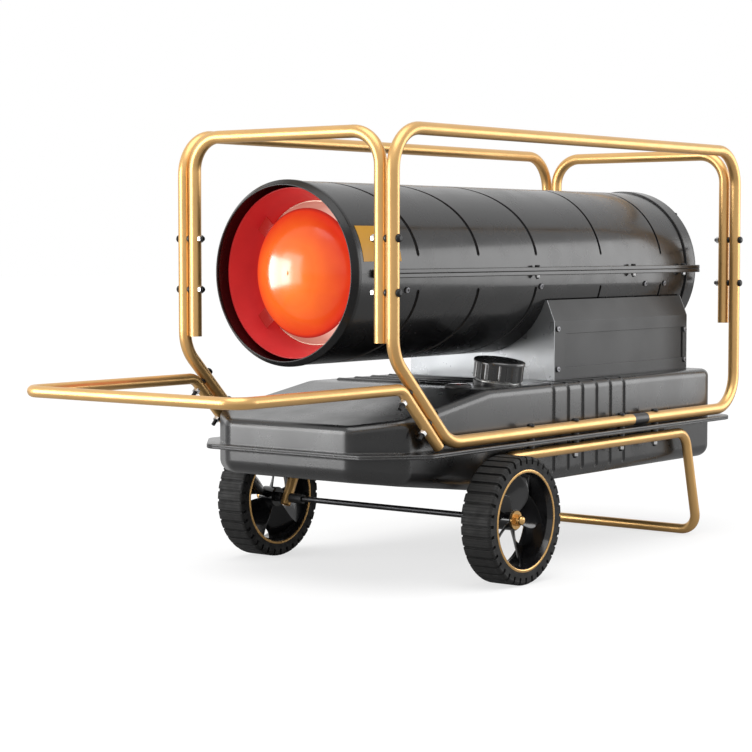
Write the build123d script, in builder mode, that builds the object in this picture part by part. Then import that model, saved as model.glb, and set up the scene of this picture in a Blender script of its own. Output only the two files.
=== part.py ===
"""Forced air heater: a burner barrel above a fuel tank, carried in a tube trolley frame.

Millimetres, +Z up, floor at Z = 0. The hot air leaves at -Y, the trolley's left and right
are -X and +X, and the object stands centred on X = 0 and Y = 0.
"""
import os
from math import cos, radians, sin, sqrt

from build123d import *

os.makedirs("parts", exist_ok=True)

# --- trolley frame ---------------------------------------------------------------------
hoop_gauge = 528.0          # between the centre planes of the two side hoops
hoop_front = -427.0         # front uprights
hoop_rear = 888.0           # rear uprights
hoop_top = 885.0            # centre height of the top rails
hoop_rail = 286.0           # centre height of the bottom rails
strut_knee = 460.0          # height where the front upright turns into the 45 degree strut
hoop_tube = 25.0
hoop_bend = 80.0
tube_wall = 1.5
sleeve_middle = 454.0       # where the two ends of a side hoop meet on the bottom rail
sleeve_length = 58.0
sleeve_spigot = 30.0

cross_gap = 4.0             # thickness of the spacers between cross and side hoops
cross_top = 879.0
cross_foot = 484.0
cross_bend = 65.0
cross_bolt_heights = (578.0, 679.0)

grip_tube = 22.0            # handle and axle stand are bent from the thinner tube
handle_front = -856.5
handle_height = 397.0
handle_bend = 34.0
handle_foot = 280.0         # height of the cut ends of the handle legs
handle_gap = 3.0            # thickness of the spacers between handle leg and strut
handle_bolt_lift = 60.0     # first handle bolt below the strut knee
handle_bolt_pitch = 61.0    # vertical pitch of the two handle bolts

bolt_shank = 8.0
bolt_head = 16.0
bolt_head_height = 6.0
nut_width = 13.0
nut_height = 6.5
hole_slack = 0.2            # radial room of a bolt in its hole

# --- wheels and axle -------------------------------------------------------------------
wheel_diameter = 254.0
tyre_width = 70.0
tyre_bead = 101.0           # radius where the tyre meets the rim
rim_inner = 91.0
wheel_gap = 6.0             # between the side hoop and the tyre, seen from above
axle_y = -113.5
axle_diameter = 12.0
bearing_slack = 0.08        # radial running room of hub and fan bores
spoke_count = 5
spoke_turn = -10.0          # first spoke, from straight up
spoke_root = 7.0            # thickness of a spoke at the hub
spoke_tip = 5.0             # thickness of a spoke at the rim
spoke_breadth = 30.0        # breadth of a spoke where it leaves the hub
spoke_inset = 4.0           # spokes sit this far inwards of the middle plane
lug_count = 36
hub_radius = 21.0
hub_inset = 27.0            # inner end of the hub from the wheel's middle plane
hub_reach = 8.5             # outer end of the hub from the wheel's middle plane

# --- axle stand ------------------------------------------------------------------------
stand_bend = 42.0
stand_front = -57.0         # corner where the rail turns down to the axle
stand_rear = 661.0          # corner where the rail turns down to the rear foot
stand_foot_y = 721.0

# --- fuel tank -------------------------------------------------------------------------
tank_front = -427.0
tank_rear = 843.0
tank_width = 480.0
nose_width = 310.0
nose_depth = 74.0           # length of the slanting front corners
seam_height = 266.0         # where the two pressed shells meet
nose_top = 322.0
deck_top = 378.0
deck_start = 350.0          # from the front wall to the level deck
crease_round = 150.0        # how softly the sloping nose turns into the deck
keel_front = 216.0
keel_low = 173.0
sheet = 2.0
tank_round = 16.0
keel_round = 28.0
corner_round = 45.0         # rear corners of tank and flange
nose_round = 34.0           # front corners of tank and flange
flange_sheet = 4.75
flange_front = -435.0
flange_rear = 860.0
flange_margin = 21.0        # flange outside the middle of the side hoops' rails
flange_nose = 400.0
flange_chamfer = 98.0
groove_first = 154.0
groove_pitch = 56.0
groove_count = 6
groove_depth = 4.4
groove_radius = 5.4
rail_bolt_y = (32.0, 199.0, 383.0, 525.0)
flange_screw_step = 30.0    # tank screws sit this far in front of the rail bolts

deck_rib_first = -18.0      # cross ribs pressed up in the level deck
deck_rib_pitch = 58.0
deck_rib_count = 4
deck_rib_reach = (-196.0, 92.0)
deck_rib_radius = 8.0
deck_rib_height = 4.5

filler_x, filler_y = 168.0, 51.0
filler_tilt = 8.0           # the filler leans this far outwards
boss_radius = 50.0
boss_lift = 8.0             # middle of the boss face above the deck
neck_radius = 34.0
neck_wall = 3.0
neck_height = 30.0
cap_radius = 54.0
cap_height = 45.0
cap_flutes = 12
cap_slack = 0.6
gauge_x, gauge_y = 150.0, -62.0
gauge_radius = 27.0

# --- barrel ----------------------------------------------------------------------------
axis_height = 612.0
barrel_radius = 179.0
barrel_front = -421.0
barrel_rear = 845.0
barrel_sheet = 2.0
barrel_hem = 16.0           # width of each side flange outside the shell
barrel_lip = 8.5            # height of each hemmed side flange
barrel_lip_start = 50.0     # side flanges start this far behind the front edge
rim_front = -435.0
rim_lap = 6.0               # length of the front ring around the barrel
rear_band_step = 4.0        # how far the swaged rear band stands outside the shell
rear_band_length = 38.0
rib_start_angle = 12.0      # ribs start this far above the side flange
slant_rib_ends = (-232.0, -29.0, 181.0)
ring_rib_ends = (438.0, 697.0)
rib_sweep = 118.0           # how far the slanting ribs run forward at the crown
rib_radius = 4.6
ring_rib_radius = 3.8
rib_depth = 4.6
barrel_bolt_y = (-340.0, 168.0, 556.0, 780.0)
shell_screw_y = (-269.0, 199.0, 627.0, 712.0)
shell_screw_angle = -10.5

guard_screw_step = 1.0      # circle of the guard screws outside the shell
guard_sheet = 2.5

# --- outlet and burner -----------------------------------------------------------------
ring_front = -405.0
ring_rear = -337.0
ring_outer = 164.0
chamber_radius = 142.0
chamber_rear = 130.0
back_sheet = 2.0            # plate that closes the chamber around the burner head
dome_radius = 127.0
dome_rim = -362.0
dome_rise = 58.0
tab_width = 34.0
tab_angles = (41.0, 139.0, 221.0, 319.0)
burner_radius = 55.0
burner_front = 62.0
burner_rear = 172.0
fuel_pipe = 3.0             # radius of the fuel line
fuel_rise = 290.0           # where the fuel line comes up into the barrel

# --- fan and motor ---------------------------------------------------------------------
fan_y = 640.0
fan_radius = 158.0
fan_blades = 5
fan_hub = 32.0
shaft_diameter = 12.0
motor_radius = 62.0
motor_front = 684.0
motor_rear = 806.0

# --- base box --------------------------------------------------------------------------
box_width = 382.0
box_front = 229.0
box_rear = 794.0
box_shoulder = 504.0        # where the side covers start to lean in
box_top = 549.5
box_lean = 19.0
box_sheet = 2.0
box_gap = 1.5               # between the box's curved edges and the barrel
cover_screws = ((243.0, 488.0), (243.0, 402.0), (783.0, 470.0), (783.0, 400.0))

# --- derived places --------------------------------------------------------------------
middle_y = (handle_front - grip_tube / 2 + hoop_rear + hoop_tube / 2) / 2
hoop_x = hoop_gauge / 2
cross_x = hoop_x - hoop_tube - cross_gap
strut_line = hoop_front + strut_knee            # Y + Z along a strut
strut_foot = strut_line - hoop_rail             # Y where a strut meets the bottom rail
leg_line = strut_line - (hoop_tube / 2 + grip_tube / 2 + handle_gap) * sqrt(2)
flange_top = seam_height + flange_sheet
flange_bottom = seam_height - flange_sheet
stand_rail = flange_bottom - 8.0 - grip_tube / 2
wheel_radius = wheel_diameter / 2
wheel_centre = hoop_x + hoop_tube / 2 + wheel_gap + tyre_width / 2
hub_inner = wheel_centre - hub_inset
hub_outer = wheel_centre + hub_reach
axle_radius = axle_diameter / 2
bolt_radius = bolt_shank / 2
barrel_flange = barrel_radius + barrel_hem
rear_band_radius = barrel_radius + rear_band_step
guard_screw_circle = barrel_radius + guard_screw_step


# --- shared shapes ---------------------------------------------------------------------
def bent_tube(points, bend, outer):
    """A round tube bent along straight runs, open at both ends."""
    with BuildPart() as tube:
        with BuildLine() as route:
            FilletPolyline(*points, radius=bend)
        with BuildSketch(Plane(origin=route.line @ 0, z_dir=route.line % 0)):
            Circle(outer / 2)
            Circle(outer / 2 - tube_wall, mode=Mode.SUBTRACT)
        sweep(path=route.wires()[0])
    return tube.part


def place(origin, direction):
    """The location that turns a piece's +Z into a direction and sets it at a point."""
    return Location(Plane(origin=origin, z_dir=direction))


def drill(spots, direction, radius, depth):
    """Cut one round hole through each of several points of the piece being built."""
    for spot in spots:
        with Locations(place(spot, direction)):
            Cylinder(radius, depth, mode=Mode.SUBTRACT)


def dome_bolt(grip, tail):
    """A dome-headed bolt: head above Z = 0, shank below through the grip and past the nut."""
    with BuildPart() as bolt:
        Cylinder(bolt_head / 2, bolt_head_height, align=(Align.CENTER, Align.CENTER, Align.MIN))
        fillet(bolt.faces().sort_by(Axis.Z)[-1].edges(), bolt_head_height * 0.8)
        Cylinder(bolt_radius, grip + tail, align=(Align.CENTER, Align.CENTER, Align.MAX))
    return bolt.part


def hex_nut(width, height, bore):
    """A hexagon nut standing on Z = 0."""
    with BuildPart() as nut:
        with BuildSketch():
            RegularPolygon(width / 2, 6, major_radius=False)
            Circle(bore, mode=Mode.SUBTRACT)
        extrude(amount=height)
    return nut.part


def washer(radius, bore, height):
    """A flat washer standing on Z = 0."""
    with BuildPart() as ring:
        with BuildSketch():
            Circle(radius)
            Circle(bore, mode=Mode.SUBTRACT)
        extrude(amount=height)
    return ring.part


def cross_screw(radius, height, stem_radius, stem):
    """A pan-head screw with a cross recess: head above Z = 0, stem below."""
    with BuildPart() as screw:
        Cylinder(radius, height, align=(Align.CENTER, Align.CENTER, Align.MIN))
        fillet(screw.faces().sort_by(Axis.Z)[-1].edges(), height * 0.45)
        with Locations((0, 0, height)):
            Box(radius * 1.1, radius * 0.26, height, mode=Mode.SUBTRACT)
            Box(radius * 0.26, radius * 1.1, height, mode=Mode.SUBTRACT)
        Cylinder(stem_radius, stem, align=(Align.CENTER, Align.CENTER, Align.MAX))
    return screw.part


def group(shape, locations):
    """Copies of one shape, set at several places, as one piece."""
    with BuildPart() as pieces:
        for location in locations:
            add(shape.moved(location))
    return pieces.part


def join(*pieces):
    """Several finished pieces as one."""
    with BuildPart() as whole:
        for piece in pieces:
            add(piece)
    return whole.part


def keep(piece, name):
    """Name a finished piece, centre it along Y with the whole heater and write its file."""
    centred = piece.moved(Location((0, -middle_y, 0)))
    centred.label = name
    export_step(centred, f"parts/{name}.step")


# --- side hoops ------------------------------------------------------------------------
cross_spots = [(hoop_x, y, z) for y in (hoop_front, hoop_rear) for z in cross_bolt_heights]
rail_spots = [(hoop_x, y, hoop_rail) for y in rail_bolt_y]
strut_spots = []
for step in range(2):
    drop = handle_bolt_lift + step * handle_bolt_pitch
    strut_spots.append((hoop_x, hoop_front + drop, strut_knee - drop))
bolt_way = (0, 1, 1)        # handle bolts enter from the rear side of the strut

with BuildPart() as side_hoop_right:
    sleeve_half = sleeve_length / 2
    add(bent_tube([
        (hoop_x, sleeve_middle - sleeve_half, hoop_rail), (hoop_x, strut_foot, hoop_rail),
        (hoop_x, hoop_front, strut_knee), (hoop_x, hoop_front, hoop_top),
        (hoop_x, hoop_rear, hoop_top), (hoop_x, hoop_rear, hoop_rail),
        (hoop_x, sleeve_middle + sleeve_half, hoop_rail)], hoop_bend, hoop_tube))
    drill(cross_spots, (1, 0, 0), bolt_radius + hole_slack, hoop_tube * 2)
    drill(rail_spots, (0, 0, 1), bolt_radius + hole_slack, hoop_tube * 2)
    drill(strut_spots, bolt_way, bolt_radius + hole_slack, hoop_tube * 2)
keep(side_hoop_right.part, "side_hoop_right")

with BuildPart() as side_hoop_left:
    add(side_hoop_right.part.mirror(Plane.YZ))
keep(side_hoop_left.part, "side_hoop_left")

with BuildPart() as hoop_sleeves:
    for side in (-1, 1):
        with Locations(place((side * hoop_x, sleeve_middle, hoop_rail), (0, 1, 0))):
            Cylinder(hoop_tube / 2 - 0.3, sleeve_length)
            Cylinder(hoop_tube / 2 - tube_wall, sleeve_length + 2 * sleeve_spigot)
keep(hoop_sleeves.part, "hoop_sleeves")


# --- cross hoops -----------------------------------------------------------------------
def cross_hoop(y):
    """An upside-down U of tube whose legs bolt to the insides of the side hoops."""
    with BuildPart() as hoop:
        add(bent_tube([(-cross_x, y, cross_foot), (-cross_x, y, cross_top),
                       (cross_x, y, cross_top), (cross_x, y, cross_foot)], cross_bend, hoop_tube))
        drill([(side * cross_x, y, z) for side in (-1, 1) for z in cross_bolt_heights],
              (1, 0, 0), bolt_radius + hole_slack, hoop_tube * 2)
    return hoop.part


front_cross_hoop = cross_hoop(hoop_front)
keep(front_cross_hoop, "front_cross_hoop")
rear_cross_hoop = cross_hoop(hoop_rear)
keep(rear_cross_hoop, "rear_cross_hoop")

cross_grip = hoop_tube * 2 + cross_gap
head_x = hoop_x + hoop_tube / 2
nut_x = cross_x - hoop_tube / 2
sides = [(side, y, z) for side in (-1, 1) for y in (hoop_front, hoop_rear)
         for z in cross_bolt_heights]
cross_bolts = group(dome_bolt(cross_grip, nut_height + 4),
                    [place((s * head_x, y, z), (s, 0, 0)) for s, y, z in sides])
cross_nuts = group(hex_nut(nut_width, nut_height, bolt_radius),
                   [place((s * nut_x, y, z), (-s, 0, 0)) for s, y, z in sides])
cross_spacers = group(washer(7, bolt_radius, cross_gap),
                      [place((s * (cross_x + hoop_tube / 2), y, z), (s, 0, 0))
                       for s, y, z in sides])

# --- pull handle -----------------------------------------------------------------------
handle_points = [(-hoop_x, leg_line - handle_foot, handle_foot),
                 (-hoop_x, leg_line - handle_height, handle_height),
                 (-hoop_x, handle_front, handle_height)]
handle_points += [(-x, y, z) for x, y, z in reversed(handle_points)]
across = 1 / sqrt(2)
strut_to_leg = hoop_tube / 2 + grip_tube / 2 + handle_gap
leg_spots = [(side * hoop_x, y - strut_to_leg * across, z - strut_to_leg * across)
             for side in (-1, 1) for _, y, z in strut_spots]

with BuildPart() as pull_handle:
    add(bent_tube(handle_points, handle_bend, grip_tube))
    drill(leg_spots, bolt_way, bolt_radius + hole_slack, grip_tube * 1.6)
keep(pull_handle.part, "pull_handle")


def along_bolt(spot, side, distance):
    """The point at a distance towards the bolt's head from a strut's centre line."""
    return (side * hoop_x, spot[1] + distance * across, spot[2] + distance * across)


handle_grip = hoop_tube + handle_gap + grip_tube
pairs = [(spot, side) for side in (-1, 1) for spot in strut_spots]
handle_bolts = group(dome_bolt(handle_grip, nut_height + 12),
                     [place(along_bolt(p, s, hoop_tube / 2), bolt_way) for p, s in pairs])
handle_nuts = group(hex_nut(nut_width, nut_height, bolt_radius),
                    [place(along_bolt(p, s, hoop_tube / 2 - handle_grip), (0, -1, -1))
                     for p, s in pairs])
handle_spacers = group(washer(7, bolt_radius, handle_gap),
                       [place(along_bolt(p, s, -hoop_tube / 2), (0, -1, -1))
                        for p, s in pairs])

# --- axle stand ------------------------------------------------------------------------
foot_z = grip_tube / 2
side_run = [(hoop_x, axle_y - 6, wheel_radius - 14), (hoop_x, stand_front, stand_rail),
            (hoop_x, stand_rear, stand_rail), (hoop_x, stand_foot_y, foot_z)]
stand_points = side_run + [(-x, y, z) for x, y, z in reversed(side_run)]

with BuildPart() as axle_stand:
    add(bent_tube(stand_points, stand_bend, grip_tube))
    drill([(s * hoop_x, y, stand_rail) for s in (-1, 1) for y in rail_bolt_y],
          (0, 0, 1), bolt_radius + hole_slack, grip_tube * 1.6)
    drill([(s * hoop_x, axle_y, wheel_radius) for s in (-1, 1)], (1, 0, 0),
          axle_radius + 0.05, grip_tube * 1.6)
keep(axle_stand.part, "axle_stand")

rail_grip = hoop_rail + hoop_tube / 2 - (stand_rail - grip_tube / 2)
spots = [(s * hoop_x, y) for s in (-1, 1) for y in rail_bolt_y]
rail_bolts = group(dome_bolt(rail_grip, nut_height + 4),
                   [place((x, y, hoop_rail + hoop_tube / 2), (0, 0, 1)) for x, y in spots])
rail_nuts = group(hex_nut(nut_width, nut_height, bolt_radius),
                  [place((x, y, stand_rail - grip_tube / 2), (0, 0, -1)) for x, y in spots])
upper_gap = hoop_rail - hoop_tube / 2 - flange_top
lower_gap = flange_bottom - stand_rail - grip_tube / 2
rail_washers = group(washer(8, bolt_radius, upper_gap),
                     [place((x, y, flange_top), (0, 0, 1)) for x, y in spots])
rail_spacers = group(washer(8, bolt_radius, lower_gap),
                     [place((x, y, flange_bottom), (0, 0, -1)) for x, y in spots])

keep(join(cross_bolts, handle_bolts, rail_bolts), "frame_bolts")
keep(join(cross_nuts, handle_nuts, rail_nuts), "frame_nuts")
keep(join(cross_spacers, handle_spacers, rail_washers, rail_spacers), "frame_spacers")


# --- wheels ----------------------------------------------------------------------------
def tyre():
    """A tyre on the X axis, with lugs cut across the tread and over both shoulders."""
    with BuildPart() as body:
        with BuildSketch(Plane.XY) as section:
            with Locations((0, (tyre_bead + wheel_radius) / 2)):
                Rectangle(tyre_width, wheel_radius - tyre_bead)
            outer = section.vertices().filter_by_position(Axis.Y, wheel_radius - 1,
                                                          wheel_radius + 1)
            fillet(outer, 7)
        revolve(axis=Axis.X)
        with BuildSketch(Plane.XY) as notch:
            with Locations((0, wheel_radius)):
                Rectangle(tyre_width + 4, 30)
            with Locations((0, wheel_radius - 4)):
                Rectangle(tyre_width - 7, 40, align=(Align.CENTER, Align.MAX),
                          mode=Mode.SUBTRACT)
        lug = extrude(amount=3, both=True, mode=Mode.PRIVATE)
        add([lug.rotate(Axis.X, i * 360 / lug_count) for i in range(lug_count)],
            mode=Mode.SUBTRACT)
    return body.part


def spoke():
    """The upright spoke: a broad blade that turns from lengthwise at the hub to flat."""
    with BuildPart() as blade:
        for reach, bow, chord, thick, lean in (
                (hub_radius - 8, 0, spoke_breadth, spoke_root, 54),
                (56, 5, 60, (spoke_root + spoke_tip) / 2, 38),
                (rim_inner + 1.5, -4, 76, spoke_tip, 24)):
            with BuildSketch(Plane(origin=(-spoke_inset, bow, reach), z_dir=(0, 0, 1),
                                   x_dir=(sin(radians(lean)), cos(radians(lean)), 0))):
                Ellipse(chord / 2, thick / 2)
        loft()
    return blade.part


def rim():
    """A rim on the X axis with five broad, twisted spokes."""
    half = tyre_width / 2
    blade = spoke()
    with BuildPart() as body:
        for i in range(spoke_count):
            add(blade.rotate(Axis.X, spoke_turn + i * 360 / spoke_count))
        with BuildSketch(Plane.XY):
            with BuildLine():
                Polyline((-half + 1, tyre_bead), (half - 1, tyre_bead),
                         (half - 1, rim_inner + 4), (half - 12, rim_inner),
                         (-half + 12, rim_inner), (-half + 1, rim_inner + 4), close=True)
            make_face()
        revolve(axis=Axis.X)
        with BuildSketch(Plane.YZ.offset(-hub_inset)):
            Circle(hub_radius)
        extrude(amount=hub_inset + hub_reach)
        with BuildSketch(Plane.YZ.offset(-half)):
            Circle(axle_radius + bearing_slack)
        extrude(amount=tyre_width, mode=Mode.SUBTRACT)
    return body.part


def rim_trims():
    """Two thin bright rings that cover the joint of tyre and rim on both faces."""
    with BuildPart() as rings:
        for face in (-1, 1):
            with BuildSketch(Plane.XY):
                with BuildLine():
                    x0 = face * (tyre_width / 2)
                    Polyline((x0 - face, 95.5), (x0, 95.5), (x0 + face * 0.8, 97),
                             (x0 + face * 0.8, 99.5), (x0, tyre_bead), (x0 - face, tyre_bead),
                             close=True)
                make_face()
        revolve(axis=Axis.X)
    return rings.part


wheel_parts = {"tyre": tyre(), "rim": rim(), "rim_trims": rim_trims()}
right_spot = Location((wheel_centre, axle_y, wheel_radius))
for part_name, shape in wheel_parts.items():
    right = shape.moved(right_spot)
    keep(right, f"{part_name}_right")
    keep(right.mirror(Plane.YZ), f"{part_name}_left")

# --- axle and hub fasteners ------------------------------------------------------------
hub_washer = 3.0
hub_gap = 0.5               # end play between hub, collar and washer
nut_radius = 11.5
nut_length = 17.0
washer_x = hub_outer + hub_gap
nut_x0 = washer_x + hub_washer
collar_start = hoop_x + grip_tube / 2
axle_end = nut_x0 + nut_length - 6

with BuildPart() as axle:
    with Locations(place((0, axle_y, wheel_radius), (1, 0, 0))):
        Cylinder(axle_radius, 2 * axle_end)
keep(axle.part, "axle")

with BuildPart() as axle_collars:
    for s in (-1, 1):
        for start, length in ((collar_start, hub_inner - hub_gap - collar_start),
                              (collar_start - grip_tube - 34, 34)):
            with Locations(place((s * (start + length / 2), axle_y, wheel_radius), (1, 0, 0))):
                Cylinder(10, length)
                Cylinder(axle_radius, length, mode=Mode.SUBTRACT)
keep(axle_collars.part, "axle_collars")

keep(group(washer(18.5, axle_radius, hub_washer),
           [place((s * washer_x, axle_y, wheel_radius), (s, 0, 0)) for s in (-1, 1)]),
     "hub_washers")

with BuildPart() as dome_nut:
    with BuildSketch():
        RegularPolygon(nut_radius, 6)
    extrude(amount=8)
    with Locations((0, 0, 8)):
        Cylinder(nut_radius * 0.82, nut_length - 8,
                 align=(Align.CENTER, Align.CENTER, Align.MIN))
    fillet(dome_nut.faces().sort_by(Axis.Z)[-1].edges(), 7)
    Cylinder(axle_radius, nut_length - 6, mode=Mode.SUBTRACT,
             align=(Align.CENTER, Align.CENTER, Align.MIN))
keep(group(dome_nut.part,
           [place((s * nut_x0, axle_y, wheel_radius), (s, 0, 0)) for s in (-1, 1)]),
     "dome_nuts")


# --- fuel tank -------------------------------------------------------------------------
def round_plan(plan):
    """Round the corners of a tank outline, the rear ones more than the front ones."""
    rear = plan.vertices().group_by(Axis.Y)[-1]
    fillet(rear, corner_round)
    front = plan.vertices().filter_by(lambda v: v.Y < 0)
    fillet(front, nose_round)


def tank_space(inset, upper):
    """The volume of the upper or lower half of the tank, drawn in by an inset."""
    half = tank_width / 2
    nose = nose_width / 2
    with BuildPart() as space:
        with BuildSketch(Plane.XY.offset(seam_height - 120)) as plan:
            Polygon((-nose, tank_front), (nose, tank_front), (half, tank_front + nose_depth),
                    (half, tank_rear), (-half, tank_rear), (-half, tank_front + nose_depth),
                    align=None)
            round_plan(plan)
            if inset:
                offset(amount=-inset, kind=Kind.ARC)
        extrude(amount=300)
        front, rear = tank_front - 1, tank_rear + 1
        nose_z = nose_top - inset if upper else keel_front + inset
        level_z = deck_top - inset if upper else keel_low + inset
        with BuildSketch(Plane.YZ) as profile:
            Polygon((front, seam_height), (front, nose_z), (front + deck_start, level_z),
                    (rear, level_z), (rear, seam_height), align=None)
            fillet(profile.vertices().filter_by(
                lambda v: abs(v.X - front - deck_start) < 1), crease_round)
        extrude(amount=tank_width, both=True, mode=Mode.INTERSECT)
        ends = space.faces().filter_by(lambda f: abs(f.normal_at().Z) > 0.9
                                       and abs(f.center().Z - seam_height) > 5)
        crease = space.edges().filter_by(Axis.X).filter_by(
            lambda e: e.center().Y > tank_front + 100 and e.center().Y < tank_rear - 200)
        rims = [e for e in ends.edges() if all((e.center() - c.center()).length > 1
                                               for c in crease)]
        fillet(rims, (tank_round if upper else keel_round) - inset)
    return space.part


def side_grooves(radius, upper):
    """The half-round swages pressed up both tank sides, as rods to cut with."""
    out = tank_width / 2 + groove_radius - groove_depth
    lift = groove_radius - groove_depth
    with BuildPart() as rods:
        for i in range(groove_count):
            y = groove_first + i * groove_pitch
            if upper:
                run = [(out, y, flange_top + 4), (out, y, deck_top + lift),
                       (out - 52, y, deck_top + lift)]
                with BuildLine() as route:
                    FilletPolyline(*run, radius=tank_round + lift)
            else:
                run = [(out, y, flange_bottom - 4), (out, y, keel_low + keel_round - 6)]
                with BuildLine() as route:
                    Polyline(*run)
            with BuildSketch(Plane(origin=route.line @ 0, z_dir=route.line % 0)):
                Circle(radius)
            sweep(path=route.wires()[0])
            with Locations(route.line @ 1):
                Sphere(radius)
        mirror(about=Plane.YZ)
    return rods.part


def deck_ribs(radius):
    """The cross ribs of the level deck, as round-ended rods."""
    low = deck_top + deck_rib_height - deck_rib_radius
    start, end = deck_rib_reach
    with BuildPart() as rods:
        for i in range(deck_rib_count):
            y = deck_rib_first + i * deck_rib_pitch
            with Locations(place(((start + end) / 2, y, low), (1, 0, 0))):
                Cylinder(radius, end - start)
            with Locations((start, y, low), (end, y, low)):
                Sphere(radius)
    return rods.part


def tank_flange(upper):
    """The flat rim where the tank shells are seamed, with holes for the rail bolts."""
    half = hoop_x + flange_margin
    nose = flange_nose / 2
    base = seam_height if upper else seam_height - flange_sheet
    with BuildPart() as rim_plate:
        with BuildSketch(Plane.XY.offset(base)) as plan:
            Polygon((-nose, flange_front), (nose, flange_front),
                    (half, flange_front + flange_chamfer), (half, flange_rear),
                    (-half, flange_rear), (-half, flange_front + flange_chamfer), align=None)
            round_plan(plan)
        extrude(amount=flange_sheet)
        outer_side = Axis.Z if upper else -Axis.Z
        fillet(rim_plate.faces().sort_by(outer_side)[-1].edges(), 2)
        drill([(s * hoop_x, y, seam_height) for s in (-1, 1) for y in rail_bolt_y],
              (0, 0, 1), bolt_radius + hole_slack, 30)
        drill([(s * (tank_width / 2 + 6.5), y - flange_screw_step, seam_height)
               for s in (-1, 1) for y in rail_bolt_y], (0, 0, 1), 2.6, 30)
    return rim_plate.part


def tank_shell(upper):
    """One pressed tank shell: walls, rounded edges, swages and seam flange in one sheet."""
    with BuildPart() as hollow:
        add(tank_space(sheet, upper))
        if upper:
            add(deck_ribs(deck_rib_radius - sheet))
        add(side_grooves(groove_radius + sheet, upper), mode=Mode.SUBTRACT)
    with BuildPart() as shell:
        add(tank_space(0, upper))
        if upper:
            add(deck_ribs(deck_rib_radius))
        add(tank_flange(upper))
        add(side_grooves(groove_radius, upper), mode=Mode.SUBTRACT)
        add(hollow.part, mode=Mode.SUBTRACT)
    return shell.part


filler_spot = Location((filler_x, filler_y, deck_top + boss_lift), (0, filler_tilt, 0))
with BuildPart() as tank_upper_shell:
    add(tank_shell(True))
    with Locations(filler_spot):
        Cylinder(boss_radius, 2 * boss_lift, align=(Align.CENTER, Align.CENTER, Align.MAX))
        Cylinder(neck_radius, 60, mode=Mode.SUBTRACT)
    with Locations((gauge_x, gauge_y, deck_top)):
        Cylinder(gauge_radius - 4, 20, mode=Mode.SUBTRACT)
keep(tank_upper_shell.part, "tank_upper_shell")

drain_y = 220.0
with BuildPart() as tank_lower_shell:
    add(tank_shell(False))
    with Locations((0, drain_y, keel_low)):
        Cylinder(9, 20, mode=Mode.SUBTRACT)
keep(tank_lower_shell.part, "tank_lower_shell")

# --- filler, cap and gauge -------------------------------------------------------------
with BuildPart() as filler_neck:
    with BuildSketch(Plane.XZ):
        with BuildLine():
            inner = neck_radius - neck_wall
            Polyline((inner, -2 * boss_lift - 2), (neck_radius - 0.4, -2 * boss_lift - 2),
                     (neck_radius - 0.4, 0.2),
                     (neck_radius + 12, 0.2), (neck_radius + 12, 2.2), (neck_radius, 2.2),
                     (neck_radius, neck_height), (inner, neck_height), close=True)
        make_face()
    revolve(axis=Axis.Z)
keep(filler_neck.part.moved(filler_spot), "filler_neck")

strainer_depth = 110.0
with BuildPart() as filler_strainer:
    reach = neck_radius - neck_wall - 0.3
    with BuildSketch(Plane.XZ):
        with BuildLine():
            Polyline((reach - 2, neck_height - 3), (reach, neck_height - 3),
                     (reach - 4, -strainer_depth), (0, -strainer_depth),
                     (0, 1.2 - strainer_depth), (reach - 5.2, 1.2 - strainer_depth), close=True)
        make_face()
    revolve(axis=Axis.Z)
    with BuildSketch(Plane.XZ):
        with GridLocations(1, 16, 1, 6):
            with Locations((0, -strainer_depth / 2)):
                Rectangle(16, 7)
    slots = extrude(amount=40, both=True, mode=Mode.PRIVATE)
    for turn in range(4):
        add(slots.rotate(Axis.Z, 45 * turn), mode=Mode.SUBTRACT)
keep(filler_strainer.part.moved(filler_spot), "filler_strainer")

gasket_height = 2.5
skirt = neck_height + gasket_height - 27.0      # the cap's skirt ends this far above the deck
with BuildPart() as cap_gasket:
    with BuildSketch(Plane.XY.offset(neck_height)):
        Circle(neck_radius)
        Circle(neck_radius - neck_wall - 1, mode=Mode.SUBTRACT)
    extrude(amount=gasket_height)
keep(cap_gasket.part.moved(filler_spot), "cap_gasket")

with BuildPart() as fuel_cap:
    roof = neck_height + gasket_height
    with BuildSketch(Plane.XY.offset(skirt)) as grip:
        Circle(cap_radius - 2)
        with PolarLocations(cap_radius + 4, cap_flutes):
            Circle(10.5, mode=Mode.SUBTRACT)
        fillet(grip.vertices(), 1.5)
    extrude(amount=cap_height - 7 - skirt)
    with Locations((0, 0, cap_height - 7)):
        Cylinder(cap_radius, 7, align=(Align.CENTER, Align.CENTER, Align.MIN))
    fillet(fuel_cap.faces().sort_by(Axis.Z)[-1].edges(), 4.5)
    with Locations((0, 0, roof)):
        Cylinder(neck_radius + cap_slack, roof, mode=Mode.SUBTRACT,
                 align=(Align.CENTER, Align.CENTER, Align.MAX))
keep(fuel_cap.part.moved(filler_spot), "fuel_cap")

with BuildPart() as fuel_gauge:
    with BuildSketch(Plane.XZ):
        with BuildLine():
            Polyline((0, -14), (gauge_radius - 4.4, -14), (gauge_radius - 4.4, 0.2),
                     (gauge_radius, 0.2), (gauge_radius, 4), (gauge_radius - 2.5, 6.5),
                     (gauge_radius - 6, 6.5), (gauge_radius - 6, 4.5), (0, 4.5), close=True)
        make_face()
    revolve(axis=Axis.Z)
keep(fuel_gauge.part.moved(Location((gauge_x, gauge_y, deck_top))), "fuel_gauge")

with BuildPart() as drain_plug:
    Cylinder(8.8, 8)
    with Locations((0, 0, -4)):
        Cylinder(14, 2, align=(Align.CENTER, Align.CENTER, Align.MAX))
    with BuildSketch(Plane.XY.offset(-6)):
        RegularPolygon(9.5, 6, major_radius=False)
    extrude(amount=-8)
keep(drain_plug.part.moved(Location((0, drain_y, keel_low + 3.8))), "drain_plug")

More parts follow.
